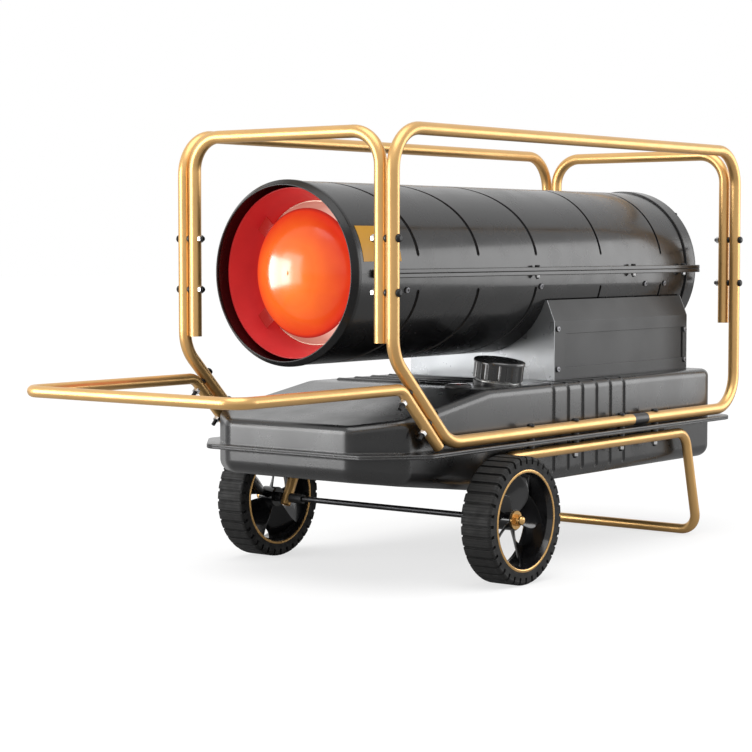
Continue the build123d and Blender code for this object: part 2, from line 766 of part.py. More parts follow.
with BuildPart() as flange_screw:
    Cylinder(4.6, 4, align=(Align.CENTER, Align.CENTER, Align.MIN))
    Cylinder(2.5, 2 * flange_sheet + 3, align=(Align.CENTER, Align.CENTER, Align.MAX))
    with Locations((0, 0, -2 * flange_sheet)):
        Cylinder(4.4, 3, align=(Align.CENTER, Align.CENTER, Align.MAX))
keep(group(flange_screw.part,
           [Location((s * (tank_width / 2 + 6.5), y - flange_screw_step, flange_top))
            for s in (-1, 1) for y in rail_bolt_y]), "tank_flange_screws")


# --- barrel ----------------------------------------------------------------------------
def on_barrel(angle, y, radius):
    """The point of the barrel at an angle above +X, a place along Y and a radius."""
    return (radius * cos(radians(angle)), y,
            axis_height + radius * sin(radians(angle)))


def rib_rod(route, radius):
    """A round rod with ball ends along a route."""
    with BuildPart() as rod:
        add(route)
        with BuildSketch(Plane(origin=route @ 0, z_dir=route % 0)):
            Circle(radius)
        sweep(path=route)
        with Locations(route @ 0, route @ 1):
            Sphere(radius)
    return rod.part


def barrel_ribs(grow):
    """The pressed ribs of a half barrel as rods: three slanting ones and two plain rings."""
    rods = []
    span = 90 - rib_start_angle
    centre = barrel_radius + rib_radius - rib_depth
    for end in slant_rib_ends:
        side_run = [(rib_start_angle + part * span, end - rib_sweep * part ** 2)
                    for part in (0, 0.21, 0.42, 0.63, 0.82)]
        other = [(180 - a, y) for a, y in reversed(side_run)]
        with BuildLine() as route:
            Spline(*[on_barrel(a, y, centre)
                     for a, y in side_run + [(90, end - rib_sweep * 0.9)] + other])
        rods.append(rib_rod(route.edges()[0], rib_radius + grow))
    centre = barrel_radius + ring_rib_radius - rib_depth
    for end in ring_rib_ends:
        with BuildLine() as route:
            ThreePointArc(*[on_barrel(a, end, centre)
                            for a in (rib_start_angle, 90, 180 - rib_start_angle)])
        rods.append(rib_rod(route.edges()[0], ring_rib_radius + grow))
    return rods


barrel_length = barrel_rear - barrel_front
with BuildPart() as barrel_bore:
    with Locations(place((0, (barrel_front + barrel_rear) / 2, axis_height), (0, 1, 0))):
        Cylinder(barrel_radius - barrel_sheet, barrel_length)
    for rod in barrel_ribs(barrel_sheet):
        add(rod, mode=Mode.SUBTRACT)

with BuildPart() as barrel_upper_shell:
    with BuildSketch(Plane.XZ.offset(-barrel_front)):
        with Locations((0, axis_height)):
            Circle(barrel_radius)
            Rectangle(3 * barrel_radius, 2 * barrel_radius,
                      align=(Align.CENTER, Align.MAX), mode=Mode.SUBTRACT)
    extrude(amount=-barrel_length)
    with BuildSketch(Plane.XZ.offset(-(barrel_rear - rear_band_length))):
        with Locations((0, axis_height)):
            Circle(rear_band_radius)
            Rectangle(3 * barrel_radius, 2 * barrel_radius,
                      align=(Align.CENTER, Align.MAX), mode=Mode.SUBTRACT)
    extrude(amount=-rear_band_length)
    fillet(barrel_upper_shell.edges().filter_by(GeomType.CIRCLE).filter_by(
        lambda e: abs(e.radius - rear_band_radius) < 0.01), 1.8)
    with BuildSketch(Plane.XZ.offset(-(barrel_front + barrel_lip_start))) as lips:
        with Locations((0, axis_height)):
            Rectangle(2 * barrel_flange, barrel_lip, align=(Align.CENTER, Align.MIN))
    extrude(amount=-(barrel_length - barrel_lip_start))
    lip_edges = barrel_upper_shell.edges().filter_by(Axis.Y).filter_by(
        lambda e: abs(abs(e.center().X) - barrel_flange) < 0.01)
    fillet(lip_edges, 1.6)
    for rod in barrel_ribs(0):
        add(rod, mode=Mode.SUBTRACT)
    add(barrel_bore.part, mode=Mode.SUBTRACT)
    barrel_bolt_x = (barrel_radius + barrel_flange) / 2 + 1
    drill([(s * barrel_bolt_x, y, axis_height) for s in (-1, 1) for y in barrel_bolt_y],
          (0, 0, 1), 3.2, 40)
    drill([on_barrel(a, barrel_rear, guard_screw_circle) for a in (45, 135)], (0, 1, 0), 2, 30)
keep(barrel_upper_shell.part, "barrel_upper_shell")

with BuildPart() as barrel_lower_shell:
    add(barrel_upper_shell.part.mirror(Plane.XY.offset(axis_height)))
    screw_spots = [(on_barrel(a, y, barrel_radius), on_barrel(a, 0, 1)) for y in shell_screw_y
                   for a in (shell_screw_angle, 180 - shell_screw_angle)]
    for spot, way in screw_spots:
        with Locations(place(spot, (way[0], 0, way[2] - axis_height))):
            Cylinder(2.7, 20, mode=Mode.SUBTRACT)
    drill([(0, fuel_rise, axis_height - barrel_radius)], (0, 0, 1), fuel_pipe + hole_slack, 40)
keep(barrel_lower_shell.part, "barrel_lower_shell")

with BuildPart() as barrel_bolt:
    Cylinder(5.5, 4.5, align=(Align.CENTER, Align.CENTER, Align.MIN))
    fillet(barrel_bolt.faces().sort_by(Axis.Z)[-1].edges(), 1.8)
    Cylinder(3, 2 * barrel_lip + 8, align=(Align.CENTER, Align.CENTER, Align.MAX))
bolt_spots = [(s * barrel_bolt_x, y) for s in (-1, 1) for y in barrel_bolt_y]
keep(group(barrel_bolt.part,
           [Location((x, y, axis_height + barrel_lip)) for x, y in bolt_spots]),
     "barrel_bolts")
keep(group(hex_nut(10, 5, 3),
           [place((x, y, axis_height - barrel_lip), (0, 0, -1)) for x, y in bolt_spots]),
     "barrel_nuts")

with BuildPart() as barrel_rim:
    seat = barrel_radius + 0.05
    lap_end = barrel_front + rim_lap
    with BuildSketch(Plane.YZ):
        with BuildLine():
            Polyline(*[(y, axis_height + r) for y, r in (
                (rim_front + 0.6, 169.5), (rim_front, 170.2), (rim_front, 171.4),
                (rim_front + 0.8, 172.6), (barrel_front - 3.5, seat + 1.4),
                (barrel_front - 1, seat + 1.9), (lap_end, seat + 1.9), (lap_end, seat),
                (barrel_front - 0.05, seat), (barrel_front - 0.05, barrel_radius - 3.2),
                (rim_front + 2.4, 169.5))], close=True)
        make_face()
    revolve(axis=Axis((0, 0, axis_height), (0, 1, 0)))
keep(barrel_rim.part, "barrel_rim")

label_angle, label_span = 17.5, 23.0
label_front, label_rear = -405.0, -288.0
with BuildPart() as blank_label:
    with BuildSketch(Plane.XZ.offset(-label_front)):
        with Locations((0, axis_height)):
            Circle(barrel_radius + 0.5)
            Circle(barrel_radius, mode=Mode.SUBTRACT)
        with BuildLine():
            far = barrel_radius * 2
            edges = [(0, axis_height)] + [
                (far * cos(radians(a)), axis_height + far * sin(radians(a)))
                for a in (label_angle - label_span / 2 + 1.5, label_angle + label_span / 2 + 1.5)]
            Polyline(*edges, close=True)
        make_face(mode=Mode.INTERSECT)
    extrude(amount=label_front - label_rear)
keep(blank_label.part, "blank_label")

with BuildPart() as rear_guard:
    with BuildSketch(Plane.XZ.offset(-barrel_rear)):
        with Locations((0, axis_height)):
            Circle(rear_band_radius - 0.5)
    extrude(amount=-guard_sheet)
    with BuildSketch(Plane.XZ.offset(-barrel_rear)):
        with Locations((0, axis_height)):
            Circle(170)
            for middle in (144, 112, 80, 48):
                Circle(middle + 2, mode=Mode.SUBTRACT)
                Circle(middle - 2)
            Circle(24, mode=Mode.SUBTRACT)
            with PolarLocations(95, 8):
                Rectangle(160, 5, mode=Mode.SUBTRACT)
    extrude(amount=-guard_sheet, mode=Mode.SUBTRACT)
    guard_screw_angles = (45, 135, 225, 315)
    drill([on_barrel(a, barrel_rear, guard_screw_circle) for a in guard_screw_angles],
          (0, 1, 0), 2, 10)
keep(rear_guard.part, "rear_guard")


# --- outlet ----------------------------------------------------------------------------
barrel_axis = Axis((0, 0, axis_height), (0, 1, 0))


def turned(points):
    """A body turned about the barrel's axis from an outline of (Y, radius) points."""
    with BuildPart() as body:
        with BuildSketch(Plane.YZ):
            with BuildLine():
                Polyline(*[(y, axis_height + r) for y, r in points], close=True)
            make_face()
        revolve(axis=barrel_axis)
    return body.part


def radial_arms(inner, outer, thickness, angles, start, end):
    """Flat arms between two radii about the barrel's axis, with ends that fit both."""
    with BuildPart() as arms:
        with BuildSketch(Plane.XZ.offset(-start)):
            with Locations((0, axis_height)):
                for angle in angles:
                    with Locations(Rotation(0, 0, angle)):
                        Rectangle(outer + 20, thickness, align=(Align.MIN, Align.CENTER))
                Circle(inner, mode=Mode.SUBTRACT)
        extrude(amount=-(end - start))
        with BuildSketch(Plane.XZ.offset(-start)):
            with Locations((0, axis_height)):
                Circle(outer)
        extrude(amount=-(end - start), mode=Mode.INTERSECT)
    return arms.part


barrel_inner = barrel_radius - barrel_sheet
chamber_inner = chamber_radius - 2
keep(turned([(ring_front, ring_outer), (ring_front, ring_outer + 2),
             (ring_front + 3, ring_outer + 2), (ring_rear, chamber_radius + 2),
             (ring_rear + 14, chamber_radius + 2), (ring_rear + 14, chamber_radius),
             (ring_rear, chamber_radius), (ring_front + 3, ring_outer)]), "outlet_cone")

with BuildPart() as flame_dome:
    crown_radius = (dome_radius ** 2 + dome_rise ** 2) / (2 * dome_rise)
    with BuildSketch(Plane.YZ):
        with BuildLine():
            for thin in (0, 1.6):
                top = crown_radius - thin
                middle = dome_rim - dome_rise + crown_radius
                half = (dome_radius - thin) / 2
                lean = middle - sqrt(top ** 2 - half ** 2)
                rim_y = middle - sqrt(top ** 2 - (dome_radius - thin) ** 2)
                ThreePointArc((middle - top, axis_height), (lean, axis_height + half),
                              (rim_y, axis_height + dome_radius - thin))
            Line((dome_rim - dome_rise, axis_height), (dome_rim - dome_rise + 1.6, axis_height))
            Line((dome_rim, axis_height + dome_radius), (rim_y, axis_height + dome_radius - 1.6))
        make_face()
    revolve(axis=barrel_axis)
    tab_reach = ring_outer - (ring_outer - chamber_radius) * (dome_rim - ring_front) / (
        ring_rear - ring_front)
    add(radial_arms(dome_radius - 3, tab_reach, tab_width, tab_angles, dome_rim - 1.5,
                    dome_rim + 0.5))
keep(flame_dome.part, "flame_dome")

# --- combustion chamber and burner -----------------------------------------------------
with BuildPart() as combustion_chamber:
    add(turned([(ring_rear, chamber_radius), (chamber_rear, chamber_radius),
                (chamber_rear, chamber_inner), (ring_rear, chamber_inner)]))
keep(combustion_chamber.part, "combustion_chamber")

with BuildPart() as chamber_back_plate:
    add(turned([(chamber_rear - back_sheet, chamber_inner), (chamber_rear, chamber_inner),
                (chamber_rear, burner_radius), (chamber_rear - back_sheet, burner_radius)]))
keep(chamber_back_plate.part, "chamber_back_plate")

keep(join(*[radial_arms(chamber_radius, barrel_inner, 2, (60, 180, 300), start, start + 50)
            for start in (-214, -8)]), "chamber_supports")

with BuildPart() as burner_head:
    add(turned([(burner_front, burner_radius), (burner_rear, burner_radius),
                (burner_rear, burner_radius - 2), (burner_front + 2, burner_radius - 2),
                (burner_front + 2, 12), (burner_front, 12)]))
    add(turned([(chamber_rear, burner_radius - 1), (chamber_rear, burner_radius + 9),
                (chamber_rear + 2.5, burner_radius + 9), (chamber_rear + 2.5, burner_radius - 1)]))
    with BuildSketch(Plane.XZ.offset(-burner_front)):
        with Locations((0, axis_height)):
            with PolarLocations(32, 10, angular_range=360):
                with Locations(Rotation(0, 0, 25)):
                    SlotOverall(30, 5)
    extrude(amount=-2, mode=Mode.SUBTRACT)
keep(burner_head.part, "burner_head")

with BuildPart() as nozzle_assembly:
    add(turned([(burner_front + 14, 0), (burner_front + 14, 3), (burner_front + 20, 7),
                (burner_rear - 6, 7), (burner_rear - 6, 11), (burner_rear, 11),
                (burner_rear, 0)]))
    add(radial_arms(5, burner_radius - 2, 4, (90, 210, 330), burner_rear - 26, burner_rear - 16))
    for x in (-13, 13):
        with Locations(place((x, burner_front + 6, axis_height + 10), (0, 1, 0))):
            Cylinder(1.5, 90, align=(Align.CENTER, Align.CENTER, Align.MIN))
        with Locations(place((x, burner_front + 54, axis_height + 10), (0, 1, 0))):
            Cylinder(4.5, 36, align=(Align.CENTER, Align.CENTER, Align.MIN))
        with Locations((x, burner_rear - 21, axis_height + 4)):
            Box(5, 10, 8)
    with Locations((0, burner_rear - 21, axis_height + 4)):
        Box(26, 10, 4)
keep(nozzle_assembly.part, "nozzle_assembly")

pan_top = deck_top + box_sheet
filter_height = pan_top + 24
with BuildPart() as fuel_line:
    with BuildLine() as route:
        FilletPolyline((0, burner_rear, axis_height), (0, fuel_rise, axis_height),
                       (0, fuel_rise, filter_height), (0, fuel_rise + 30, filter_height),
                       radius=14)
    with BuildSketch(Plane(origin=route.line @ 0, z_dir=route.line % 0)):
        Circle(fuel_pipe)
    sweep(path=route.wires()[0])
    with Locations(place((0, fuel_rise + 62, filter_height), (0, 1, 0))):
        Cylinder(18, 60)
    fillet(fuel_line.edges().filter_by(GeomType.CIRCLE).filter_by(
        lambda e: abs(e.radius - 18) < 0.01), 3)
    with BuildLine() as drop:
        FilletPolyline((0, fuel_rise + 92, filter_height), (0, fuel_rise + 122, filter_height),
                       (0, fuel_rise + 122, pan_top), radius=10)
    with BuildSketch(Plane(origin=drop.line @ 0, z_dir=drop.line % 0)):
        Circle(fuel_pipe)
    sweep(path=drop.wires()[0])
    with BuildSketch(Plane.XY.offset(pan_top)):
        with Locations((0, fuel_rise + 122)):
            RegularPolygon(8, 6, major_radius=False)
    extrude(amount=7)
keep(fuel_line.part, "fuel_line")

# --- fan and motor ---------------------------------------------------------------------
shaft_radius = shaft_diameter / 2
shaft_end = motor_front + 84
with BuildPart() as blade:
    for reach, chord, lean in ((fan_hub - 5, 54, 48), (fan_radius, 96, 24)):
        with BuildSketch(Plane(origin=(0, fan_y, axis_height + reach),
                               x_dir=(cos(radians(lean)), sin(radians(lean)), 0),
                               z_dir=(0, 0, 1))):
            Rectangle(chord, 2.4)
    loft()
with BuildPart() as fan:
    add(turned([(fan_y - 26, 0), (fan_y - 26, fan_hub - 12), (fan_y - 14, fan_hub),
                (fan_y + 26, fan_hub), (fan_y + 26, shaft_radius), (shaft_end, shaft_radius),
                (shaft_end, 0)]))
    for i in range(fan_blades):
        add(blade.part.rotate(barrel_axis, i * 360 / fan_blades))
keep(fan.part, "fan")

keep(turned([(motor_front, shaft_radius + bearing_slack), (motor_front, 22),
             (motor_front + 8, 22), (motor_front + 8, motor_radius - 14),
             (motor_front + 22, motor_radius), (motor_rear - 22, motor_radius),
             (motor_rear - 8, motor_radius - 14), (motor_rear, motor_radius - 14),
             (motor_rear, 0), (shaft_end + 2, 0),
             (shaft_end + 2, shaft_radius + bearing_slack)]), "fan_motor")

motor_middle = (motor_front + motor_rear) / 2
with BuildPart() as motor_bracket:
    add(radial_arms(motor_radius + 1, barrel_inner, 30, (90, 210, 330), motor_middle - 12,
                    motor_middle - 9))
    add(turned([(motor_middle - 12, motor_radius), (motor_middle - 12, motor_radius + 2.5),
                (motor_middle + 16, motor_radius + 2.5), (motor_middle + 16, motor_radius)]))
    pad = turned([(motor_middle - 12, barrel_inner - 2.5), (motor_middle - 12, barrel_inner),
                  (motor_middle + 16, barrel_inner), (motor_middle + 16, barrel_inner - 2.5)])
    with BuildSketch(Plane.XZ.offset(-(motor_middle - 20))):
        with Locations((0, axis_height)):
            for angle in (90, 210, 330):
                with Locations(Rotation(0, 0, angle)):
                    Rectangle(barrel_radius + 20, 30, align=(Align.MIN, Align.CENTER))
    pads = extrude(amount=-60, mode=Mode.PRIVATE)
    add(pads & pad)
keep(motor_bracket.part, "motor_bracket")

keep(turned([(motor_rear, 0), (motor_rear, 38), (motor_rear + 18, 38), (motor_rear + 24, 32),
             (motor_rear + 24, 12), (motor_rear + 31, 12), (motor_rear + 31, 0)]), "air_pump")

# --- base box --------------------------------------------------------------------------
half_box = box_width / 2
wall = half_box - box_sheet
shoulder_x = half_box - box_lean
front_fold, rear_fold = 27.0, 16.0      # side flanges that the covers screw to


def end_plate(y):
    """An end plate of the base box, cut out below to carry the barrel."""
    with BuildPart() as plate:
        with BuildSketch(Plane.XZ.offset(-y)):
            Polygon((-half_box, deck_top), (half_box, deck_top), (half_box, box_shoulder),
                    (shoulder_x, box_top), (-shoulder_x, box_top), (-half_box, box_shoulder),
                    align=None)
            with Locations((0, axis_height)):
                Circle(barrel_radius, mode=Mode.SUBTRACT)
        extrude(amount=-box_sheet)
    return plate.part


with BuildPart() as base_channel:
    add(end_plate(box_front))
    add(end_plate(box_rear - box_sheet))
    with BuildSketch(Plane.XY.offset(deck_top)):
        with Locations((0, (box_front + box_rear) / 2)):
            Rectangle(2 * wall, box_rear - box_front)
    extrude(amount=box_sheet)
    for y, reach in ((box_front, front_fold), (box_rear, -rear_fold)):
        for s in (-1, 1):
            with Locations((s * (wall - box_sheet / 2), y + reach / 2,
                            (deck_top + box_shoulder) / 2)):
                Box(box_sheet, abs(reach), box_shoulder - deck_top)
    drill([(s * wall, y, z) for s in (-1, 1) for y, z in cover_screws], (1, 0, 0), 2.7, 12)
keep(base_channel.part, "base_channel")

field_front, field_rear, field_low, field_high = 275.0, 775.0, 405.0, 477.0
field_depth = 2.5
cover_front, cover_rear = box_front + box_sheet, box_rear - box_sheet
with BuildPart() as right_cover:
    with BuildSketch(Plane.XZ.offset(-cover_front)):
        Polygon((half_box, deck_top), (half_box, box_shoulder), (shoulder_x, box_top),
                (shoulder_x - 1.9, box_top - 0.8), (wall, box_shoulder - 0.4), (wall, deck_top),
                align=None)
    extrude(amount=-(cover_rear - cover_front))
    field = Pos(half_box, (field_front + field_rear) / 2, (field_low + field_high) / 2)
    with Locations(field):
        Box(field_depth + box_sheet, field_rear - field_front + 4, field_high - field_low + 4,
            align=(Align.MAX, Align.CENTER, Align.CENTER))
        Box(field_depth, field_rear - field_front, field_high - field_low,
            align=(Align.MAX, Align.CENTER, Align.CENTER), mode=Mode.SUBTRACT)
    drill([(half_box, y, z) for y, z in cover_screws], (1, 0, 0), 2.7, 12)
keep(right_cover.part, "right_cover")

# --- controls on the left cover --------------------------------------------------------
panel_x = -(half_box - field_depth)             # outer face of the recessed field
panel_back = panel_x + box_sheet
panel_z = (field_low + field_high) / 2
knob_y, switch_y, lamp_y, inlet_y = 360.0, 440.0, 500.0, 640.0
knob_shaft = 3.0
rocker_radius, rocker_width, rocker_pivot = 13.0, 14.0, 3.5
switch_back = 20.0

with BuildPart() as left_cover:
    add(right_cover.part.mirror(Plane.YZ))
    drill([(panel_x, knob_y, panel_z)], (1, 0, 0), knob_shaft + 1, 12)
    drill([(panel_x, lamp_y, panel_z)], (1, 0, 0), 6, 12)
    for y, wide, high in ((switch_y, 19, 30), (inlet_y, 34, 26)):
        with Locations((panel_x, y, panel_z)):
            Box(12, wide, high, mode=Mode.SUBTRACT)
keep(left_cover.part, "left_cover")

with BuildPart() as thermostat_body:
    with Locations((panel_back, knob_y, panel_z)):
        Box(26, 34, 34, align=(Align.MIN, Align.CENTER, Align.CENTER))
        Box(18, 60, 2, align=(Align.MIN, Align.CENTER, Align.CENTER))
    drill([(panel_back, knob_y, panel_z)], (1, 0, 0), knob_shaft + bearing_slack, 40)
keep(thermostat_body.part, "thermostat_body")

with BuildPart() as thermostat_knob:
    with Locations(place((panel_x - 0.6, knob_y, panel_z), (-1, 0, 0))):
        Cylinder(20, 4, align=(Align.CENTER, Align.CENTER, Align.MIN))
        Cylinder(17, 16, align=(Align.CENTER, Align.CENTER, Align.MIN))
        Cylinder(knob_shaft, 18, align=(Align.CENTER, Align.CENTER, Align.MAX))
    fillet(thermostat_knob.faces().sort_by(Axis.X)[0].edges(), 1.5)
    with Locations((panel_x - 16, knob_y, panel_z + 9)):
        Box(3, 1.6, 13, mode=Mode.SUBTRACT)
keep(thermostat_knob.part, "thermostat_knob")

with BuildPart() as switch_housing:
    with Locations((panel_x, switch_y, panel_z)):
        Box(2.5, 23, 34, align=(Align.MAX, Align.CENTER, Align.CENTER))
        Box(switch_back, 18.6, 29.6, align=(Align.MIN, Align.CENTER, Align.CENTER))
    with Locations(place((panel_x + rocker_pivot, switch_y, panel_z), (0, 1, 0))):
        Cylinder(rocker_radius + 0.4, rocker_width + 0.8, mode=Mode.SUBTRACT)
        Cylinder(1.5 + bearing_slack, rocker_width + 3, mode=Mode.SUBTRACT)
keep(switch_housing.part, "switch_housing")

with BuildPart() as switch_rocker:
    with Locations(place((panel_x + rocker_pivot, switch_y, panel_z), (0, 1, 0))):
        Cylinder(rocker_radius, rocker_width)
    with BuildSketch(Plane.XZ.offset(-(switch_y - rocker_width / 2))):
        with Locations((panel_x + rocker_pivot, panel_z)):
            Polygon((6, -14), (6, 14), (-9.5, 9), (-7.5, 0), (-9.5, -9), align=None)
    extrude(amount=-rocker_width, mode=Mode.INTERSECT)
    with Locations(place((panel_x + rocker_pivot, switch_y, panel_z), (0, 1, 0))):
        Cylinder(1.5, rocker_width + 2.6)
keep(switch_rocker.part, "switch_rocker")

with BuildPart() as indicator_lamp:
    with Locations(place((panel_x, lamp_y, panel_z), (-1, 0, 0))):
        Cylinder(9, 2, align=(Align.CENTER, Align.CENTER, Align.MIN))
        Cylinder(5.9, 24, align=(Align.CENTER, Align.CENTER, Align.MAX))
        with Locations((0, 0, 2)):
            Cylinder(6, 6, align=(Align.CENTER, Align.CENTER, Align.MIN))
    fillet(indicator_lamp.faces().sort_by(Axis.X)[0].edges(), 3)
keep(indicator_lamp.part, "indicator_lamp")

with BuildPart() as power_inlet:
    with Locations((panel_x, inlet_y, panel_z)):
        Box(2.5, 50, 32, align=(Align.MAX, Align.CENTER, Align.CENTER))
        Box(24, 33.6, 25.6, align=(Align.MIN, Align.CENTER, Align.CENTER))
    with Locations((panel_x - 2.5, inlet_y, panel_z)):
        Box(18, 26, 18, align=(Align.MIN, Align.CENTER, Align.CENTER), mode=Mode.SUBTRACT)
    for y, z in ((-7, -2.5), (7, -2.5), (0, 3.5)):
        with Locations((panel_x + 16, inlet_y + y, panel_z + z)):
            Box(14, 2, 5, align=(Align.MAX, Align.CENTER, Align.CENTER))
keep(power_inlet.part, "power_inlet")

with BuildPart() as ignition_transformer:
    with Locations((-105, 300, pan_top)):
        Box(64, 90, 44, align=(Align.CENTER, Align.CENTER, Align.MIN))
    fillet(ignition_transformer.edges().filter_by(Axis.Z), 4)
    for y in (280, 320):
        with Locations((-105, y, pan_top + 44)):
            Cylinder(6, 12, align=(Align.CENTER, Align.CENTER, Align.MIN))
    for y in (250, 350):
        with Locations((-105, y, pan_top)):
            Box(30, 20, 2, align=(Align.CENTER, Align.CENTER, Align.MIN))
keep(ignition_transformer.part, "ignition_transformer")

# --- small screws ----------------------------------------------------------------------
panel_screw = cross_screw(6.3, 3.4, 2.5, 8)
shell_places = [place(spot, (way[0], 0, way[2] - axis_height)) for spot, way in screw_spots]
cover_places = [place((s * half_box, y, z), (s, 0, 0)) for s in (-1, 1)
                for y, z in cover_screws]
guard_places = [place(on_barrel(a, barrel_rear + guard_sheet, guard_screw_circle), (0, 1, 0))
                for a in guard_screw_angles]
keep(join(group(panel_screw, shell_places + cover_places),
          group(cross_screw(4.2, 2.4, 1.8, 14), guard_places)), "cross_screws")
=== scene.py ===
"""Looks for the forced air heater: finishes, fine details, light, floor and camera.

Laid out as a Blender add-on and run as a script. Metres, +Z up, the floor at Z = 0.
"""
from math import cos, pi, radians, sin

import bpy
from bpy.props import FloatProperty, FloatVectorProperty, IntProperty, PointerProperty
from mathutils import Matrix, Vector


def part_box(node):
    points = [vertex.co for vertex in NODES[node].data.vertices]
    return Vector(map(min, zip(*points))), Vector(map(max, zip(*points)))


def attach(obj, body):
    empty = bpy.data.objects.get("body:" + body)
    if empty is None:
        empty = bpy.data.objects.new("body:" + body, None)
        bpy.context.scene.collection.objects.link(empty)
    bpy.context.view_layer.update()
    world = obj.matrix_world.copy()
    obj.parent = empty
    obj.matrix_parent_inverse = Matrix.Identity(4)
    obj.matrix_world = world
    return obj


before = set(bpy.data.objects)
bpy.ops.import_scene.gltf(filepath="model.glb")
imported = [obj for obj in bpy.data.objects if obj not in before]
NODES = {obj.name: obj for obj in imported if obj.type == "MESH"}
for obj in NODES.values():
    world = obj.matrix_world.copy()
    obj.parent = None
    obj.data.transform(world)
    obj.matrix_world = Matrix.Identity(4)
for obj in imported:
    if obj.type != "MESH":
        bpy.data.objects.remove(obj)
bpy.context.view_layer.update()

bl_info = {
    "name": "Forced Air Heater Looks",
    "version": (1, 0, 0),
    "blender": (4, 5, 0),
    "location": "View3D > Sidebar > Heater",
    "description": "Finishes, details and stage for a forced air heater on a trolley",
    "category": "Object",
}


def span(node):
    """Lowest corner, highest corner and middle of a node at rest."""
    low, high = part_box(node)
    return low, high, (low + high) / 2


RIM_LOW, RIM_HIGH, RIM_MIDDLE = span("barrel_rim")
DOME_LOW, DOME_HIGH, DOME_MIDDLE = span("flame_dome")
CHAMBER_LOW, CHAMBER_HIGH, CHAMBER_MIDDLE = span("combustion_chamber")
_, GAUGE_HIGH, GAUGE_MIDDLE = span("fuel_gauge")
KNOB_LOW, KNOB_HIGH, KNOB_MIDDLE = span("thermostat_knob")
SWITCH_LOW, SWITCH_HIGH, SWITCH_MIDDLE = span("switch_housing")
TYRE_LOW, TYRE_HIGH, TYRE_MIDDLE = span("tyre_right")

# Directions kept when a distance is measured from a barrel's or a wheel's axis.
FROM_BARREL_AXIS = (1.0, 0.0, 1.0)
FROM_WHEEL_AXIS = (0.0, 1.0, 1.0)

PANEL_X = -0.1885                   # outer face of the control cover
KNOB_SWEEP = radians(270)           # how far the thermostat knob turns

# Parts of the noise's range that are spread out to a whole range of values.
WIDE_MIDDLE = (0.3, 0.7)
NARROW_MIDDLE = (0.35, 0.65)

ROUND_SEGMENTS = 72                 # sides of a disc
SMOOTH_ANGLE = radians(30)          # steeper edges than this stay sharp
WELD = 0.000005                     # corners nearer than this become one
TEXT_WELD = 0.00001


# --- settings --------------------------------------------------------------------------
def colour(name, description, value):
    """A colour setting with its name, note and default."""
    return FloatVectorProperty(name=name, description=description, default=value,
                               subtype="COLOR", size=3, min=0.0, max=1.0)


def length(name, description, value):
    """A length setting in metres."""
    return FloatProperty(name=name, description=description, default=value, min=0.0,
                         unit="LENGTH")


class HeaterFinishes(bpy.types.PropertyGroup):
    """Colours of the heater's finishes."""
    gold: colour("Gold paint", "Trolley tubes and wheel trims", (0.71, 0.43, 0.165))
    black: colour("Black enamel", "Barrel and tank enamel", (0.006, 0.006, 0.0065))
    cover: colour("Cover grey", "Side covers", (0.018, 0.0185, 0.019))
    plate: colour("Plate grey", "End plates of the base", (0.30, 0.31, 0.32))
    cone: colour("Cone red", "Outlet cone", (0.38, 0.024, 0.026))
    # painted glow: light the cone gives off, standing in for the fire's light on it
    painted_cone_glow: colour("Cone glow", "Light that the outlet cone gives off", (0.6, 0.014, 0.018))
    # painted glow: the fire's red light on the barrel's inner face, laid into its colour
    painted_throat_glow: colour("Throat red", "Inside of the barrel's mouth", (0.05, 0.002, 0.003))
    glow_hot: colour("Hot glow", "Brightest place on the dome", (1.0, 0.30, 0.02))
    glow_warm: colour("Warm glow", "Middle of the dome", (0.96, 0.16, 0.012))
    glow_cool: colour("Cool glow", "Outer part of the dome", (0.68, 0.032, 0.010))
    glow_rim: colour("Rim glow", "Rim and feet of the dome", (0.30, 0.004, 0.004))
    flare: colour("Flare", "Chamber wall that glows behind the dome", (1.0, 0.66, 0.60))
    ember: colour("Ember", "Chamber wall at its front edge", (0.22, 0.055, 0.05))
    rubber: colour("Tyre rubber", "Tyres", (0.009, 0.0088, 0.0086))
    label: colour("Label yellow", "Plain label", (0.62, 0.31, 0.02))
    zinc: colour("Zinc", "Plated nuts", (0.66, 0.66, 0.66))
    marking: colour("Marking white", "Ticks and numbers", (0.72, 0.72, 0.70))


class HeaterSizes(bpy.types.PropertyGroup):
    """Sizes of the fine details and of the stage."""
    edge_round: length("Edge rounding", "Radius that softens shaded edges", 0.0009)
    glow_power: FloatProperty(name="Glow", description="Strength of the dome's glow",
                              default=1.0, min=0.0)
    mark_height: length("Mark height", "How far a mark stands off its panel", 0.0003)
    tick_length: length("Tick length", "Length of a mark round the knob", 0.003)
    tick_width: length("Tick width", "Width of a mark round the knob", 0.0007)
    tick_count: IntProperty(name="Tick count", description="Marks round the knob",
                            default=13, min=2)
    number_size: length("Number size", "Height of the numbers on the panel", 0.0055)
    tread_sipes: IntProperty(name="Tread sipes", description="Fine slits round a tyre",
                             default=108, min=2)
    gauge_tick: length("Gauge tick", "Length of a mark on the fuel gauge", 0.0042)
    camera_turn: FloatProperty(name="Camera turn",
                               description="Camera's angle round the heater",
                               default=radians(38.12), subtype="ANGLE")
    camera_tilt: FloatProperty(name="Camera tilt",
                               description="How far the camera looks down below level",
                               default=radians(3.61), subtype="ANGLE")
    camera_place: FloatVectorProperty(name="Camera place", description="Where the camera stands",
                                      default=(2.5916, -3.4608, 0.6643), size=3, unit="LENGTH")
    camera_lens: FloatProperty(name="Lens", description="Focal length on a 36 mm sensor, in mm",
                               default=98.5, min=1.0)
    lamp_power: FloatProperty(name="Lamp power", description="Factor on every lamp",
                              default=1.0, min=0.0)


def finishes():
    """The colour settings of this scene."""
    return bpy.context.scene.heater_finishes


def sizes():
    """The size settings of this scene."""
    return bpy.context.scene.heater_sizes


